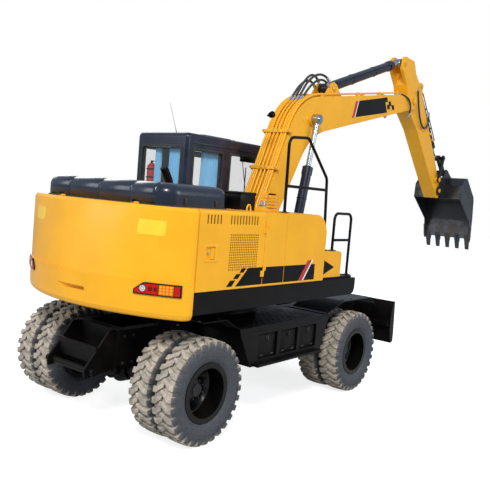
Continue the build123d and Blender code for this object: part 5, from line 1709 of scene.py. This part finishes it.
# Undercarriage, steps and blade: bolts, treads, box doors, plugs, pipes and brackets
def boltRing(shape, centre, axis, radius, count, size, low, high):
    # hexagon heads set round an axis through the centre
    axis = Vector(axis)
    one = axis.orthogonal().normalized()
    two = axis.cross(one)
    for angle in around(count, 0.5):
        place = Vector(centre) + (one * cos(angle) + two * sin(angle)) * radius
        rod(shape, place + axis * low, place + axis * high, size, 6)


chequerStep = 0.050
chequerBar = ((-0.016, 0.016), (-0.0045, 0.0045), (-0.001, 0.0025))


def chequer(shape, x, y, level):
    # the raised bars of tread plate, turned each way in turn
    columns, rows = (int((b - a) / chequerStep) for a, b in (x, y))
    for column in range(columns):
        for row in range(rows):
            middle = [a + (k + 0.5) * (b - a) / count for (a, b), k, count in ((x, column, columns), (y, row, rows))]
            lean = pi / 4 if (column + row) % 2 else -pi / 4
            verts = block(shape, *chequerBar)
            place = Matrix.Translation((*middle, level)) @ Matrix.Rotation(lean, 4, "Z")
            bmesh.ops.transform(shape, matrix=place, verts=verts)


def addChassisPieces():
    boxTop, boxBottom, boxOuter = 1.090, 0.660, 1.180
    lids = [ahead(start, start + 0.340) for start in (0.820, 1.220, 1.620)]

    def outer(turn, *insets):
        # Y values that lie the given distances inside the box's outer face
        return tuple(turn * (boxOuter - inset) for inset in insets)

    def boxDoors(shape):
        # shut lids in the three recesses of each side box
        for turn in (1, -1):
            for start, end in lids:
                up = (boxBottom + 0.090, boxTop - 0.110)
                block(shape, (start + 0.020, end - 0.020), outer(turn, 0.032, 0.018), up)

    def boxHinges(shape):
        for turn in (1, -1):
            for start, end in lids:
                for x in (start + 0.075, end - 0.075):
                    peg(shape, "X", (*outer(turn, 0.014), boxBottom + 0.098), x - 0.025, x + 0.025, 0.009, 12)
                middle = (start + end) / 2
                peg(shape, "Y", (middle, boxTop - 0.145), *outer(turn, 0.020, 0.010), 0.022, 20)
                up = (boxTop - 0.175, boxTop - 0.115)
                block(shape, (middle - 0.006, middle + 0.006), outer(turn, 0.012, 0.002), up)

    def treads(shape):
        for turn in (1, -1):
            chequer(shape, ahead(0.720, 2.000), sorted((turn * 0.640, turn * 1.160)), boxTop)
            chequer(shape, ahead(0.840, 1.940), sorted((turn * (boxOuter + 0.005), turn * 1.235)), boxBottom + 0.024)

    def guardBolts(shape):
        for turn in (1, -1):
            for x in ahead(-0.360, -0.060, 0.230, 2.680, 2.900, 3.300):
                for y in (0.680, 1.100):
                    peg(shape, "Z", (x, turn * y), 1.210, 1.222, 0.013)

    def railBolts(shape):
        # heads along the outer side of each rail, where the cross members are joined
        for turn in (1, -1):
            for x in ahead(-0.340, -0.220, 0.210, 0.330, 0.450, 2.340, 2.460, 3.140, 3.260):
                for z in (0.680, 0.960):
                    peg(shape, "Y", (x, z), turn * 0.352, turn * 0.369, 0.016)

    def slewBolts(shape):
        for low in (1.273, 1.206):
            boltRing(shape, (swingX, 0, 0), (0, 0, 1), 0.548, 36, 0.013, low, low + 0.016)

    def covers(shape):
        for x, turn, reach in ((rearX, -1, 0.186), (frontX, 1, 0.166)):
            peg(shape, "X", (0, tyreRadius), x + turn * 0.110, x + turn * reach, 0.106, 40)
            boltRing(shape, (x, 0, tyreRadius), (turn, 0, 0), 0.090, 10, 0.010, reach - 0.002, reach + 0.010)
            peg(shape, "X", (0, tyreRadius), x + turn * reach, x + turn * (reach + 0.012), 0.045, 32)

    def plugs(shape):
        for x in (rearX, frontX):
            peg(shape, "Z", (x, 0.060), 0.380, 0.340, 0.018)

    addAll(
        ("boxDoors", "chassis", frameBlack, boxDoors, 0.004),
        ("boxHinges", "chassis", darkSteel, boxHinges, 0),
        ("boxTreads", "chassis", frameBlack, treads, 0),
        ("guardBolts", "chassis", darkSteel, guardBolts, 0),
        ("railBolts", "chassis", darkSteel, railBolts, 0),
        ("slewBolts", "chassis", darkSteel, slewBolts, 0),
        ("axleCovers", "chassis", frameBlack, covers, 0),
        ("axlePlugs", "chassis", silver, plugs, 0),
    )
    # brake pipes along the rear axle
    for side, turn in rightAndLeft[::-1]:
        pipe = [(rearX + x, turn * y, z) for x, y, z in (
            (-0.090, 0.130, 0.640), (-0.108, 0.240, 0.600), (-0.104, 0.420, 0.560),
            (-0.100, 0.560, 0.545), (-0.080, 0.610, 0.540),
        )]
        tube("brakePipe" + side, "chassis", darkSteel, pipe, 0.006)


addChassisPieces()


def addBladePieces():
    bladeRear, edgeFront = frontX + 0.945, frontX + 1.037

    def edgeBolts(shape):
        for step in range(12):
            y = -1.120 + 2.240 * step / 11
            for z in (0.560, 0.620):
                peg(shape, "X", (y, z), edgeFront - 0.004, edgeFront + 0.008, 0.016, 20)

    def gussets(shape):
        # behind the blade between the arms, a lower and an upper one at each place
        for y in (-0.900, -0.620, 0.620, 0.900):
            for corners in (
                ((0.030, 0.620), (-0.045, 0.700), (-0.045, 0.760), (0.020, 0.775)),
                ((0.030, 1.040), (-0.045, 0.900), (-0.045, 0.840), (0.020, 0.840)),
            ):
                prism(shape, [(bladeRear + x, z) for x, z in corners], y - 0.006, y + 0.006)

    addAll(
        ("bladeBolts", "blade", silver, edgeBolts, 0),
        ("bladeGussets", "blade", frameBlack, gussets, 0),
    )


addBladePieces()


# Handrail feet, step treads and the platform's tread plate
def addStepPieces():
    def feet(shape):
        for x, y, level in (
            (1.200, -1.100, 2.305), (2.078, -1.100, 1.870), (2.240, -1.130, 1.870), (2.650, -1.130, 1.555),
        ):
            for place in ahead(x - 0.034, x + 0.034):
                peg(shape, "Z", (place, y), level + 0.006, level + 0.020, 0.008)

    def treads(shape):
        chequer(shape, ahead(1.930, 2.330), (-1.070, -0.570), 1.870)
        chequer(shape, ahead(2.390, 2.600), (-1.080, -0.570), 1.555)

    addAll(
        ("railBoltsTop", "upper", silver, feet, 0),
        ("stepTreads", "upper", darkSteel, treads, 0),
    )


addStepPieces()
print("stage: undercarriage")


# Floor, backdrop and lights
def addFloor():
    mesh = bpy.data.meshes.new("floor")
    half = 60
    mesh.from_pydata([(-half, -half, 0), (half, -half, 0), (half, half, 0), (-half, half, 0)], [], [(0, 1, 2, 3)])
    floor = addObject("floor", mesh)
    material, tree, shader, place = startMaterial("floorPaper")
    paper = mix(tree, ramp(tree, noise(tree, place, 0.6, 3), 0.3, 0.7), (0.52, 0.52, 0.52), (0.55, 0.55, 0.55))
    # only the camera sees the floor's glow, which keeps undersides dark
    path = tree.nodes.new("ShaderNodeLightPath")
    glow = times(tree, path.outputs["Is Camera Ray"], 0.80)
    dress(tree, shader, paper, 0.95, Emission_Color=(1, 1, 1), Emission_Strength=glow)
    mesh.materials.append(material)


addFloor()

world = bpy.data.worlds.new("studio")
bpy.context.scene.world = world
world.use_nodes = True
worldTree = world.node_tree
background = worldTree.nodes["Background"]
background.inputs["Strength"].default_value = 1.0
# the camera sees plain white, and everything else is lit by a faint sky
lightPath = worldTree.nodes.new("ShaderNodeLightPath")
skyColour = worldTree.nodes.new("ShaderNodeMixRGB")
skyColour.inputs[1].default_value = (0.40, 0.45, 0.53, 1)
skyColour.inputs[2].default_value = (1, 1, 1, 1)
worldTree.links.new(lightPath.outputs["Is Camera Ray"], skyColour.inputs[0])
worldTree.links.new(skyColour.outputs[0], background.inputs["Color"])


def addArea(name, location, target, size, power, colour=(1, 1, 1)):
    data = bpy.data.lights.new(name, "AREA")
    data.size = size
    data.energy = power
    data.color = colour
    lamp = addObject(name, data)
    lamp.location = location
    lamp.rotation_euler = (Vector(target) - Vector(location)).to_track_quat("-Z", "Y").to_euler()


addArea("keyLight", (-14, -9, 13), (-2, 0, 1.8), 4, 2650, (1.0, 0.96, 0.90))
addArea("fillLight", (6, -16, 8), (0, 0, 2), 8, 850)
addArea("tailLight", (-15, 8, 7), (-4, 0, 1.8), 6, 480)
addArea("backLight", (4, 16, 10), (0, 0, 2), 8, 800)
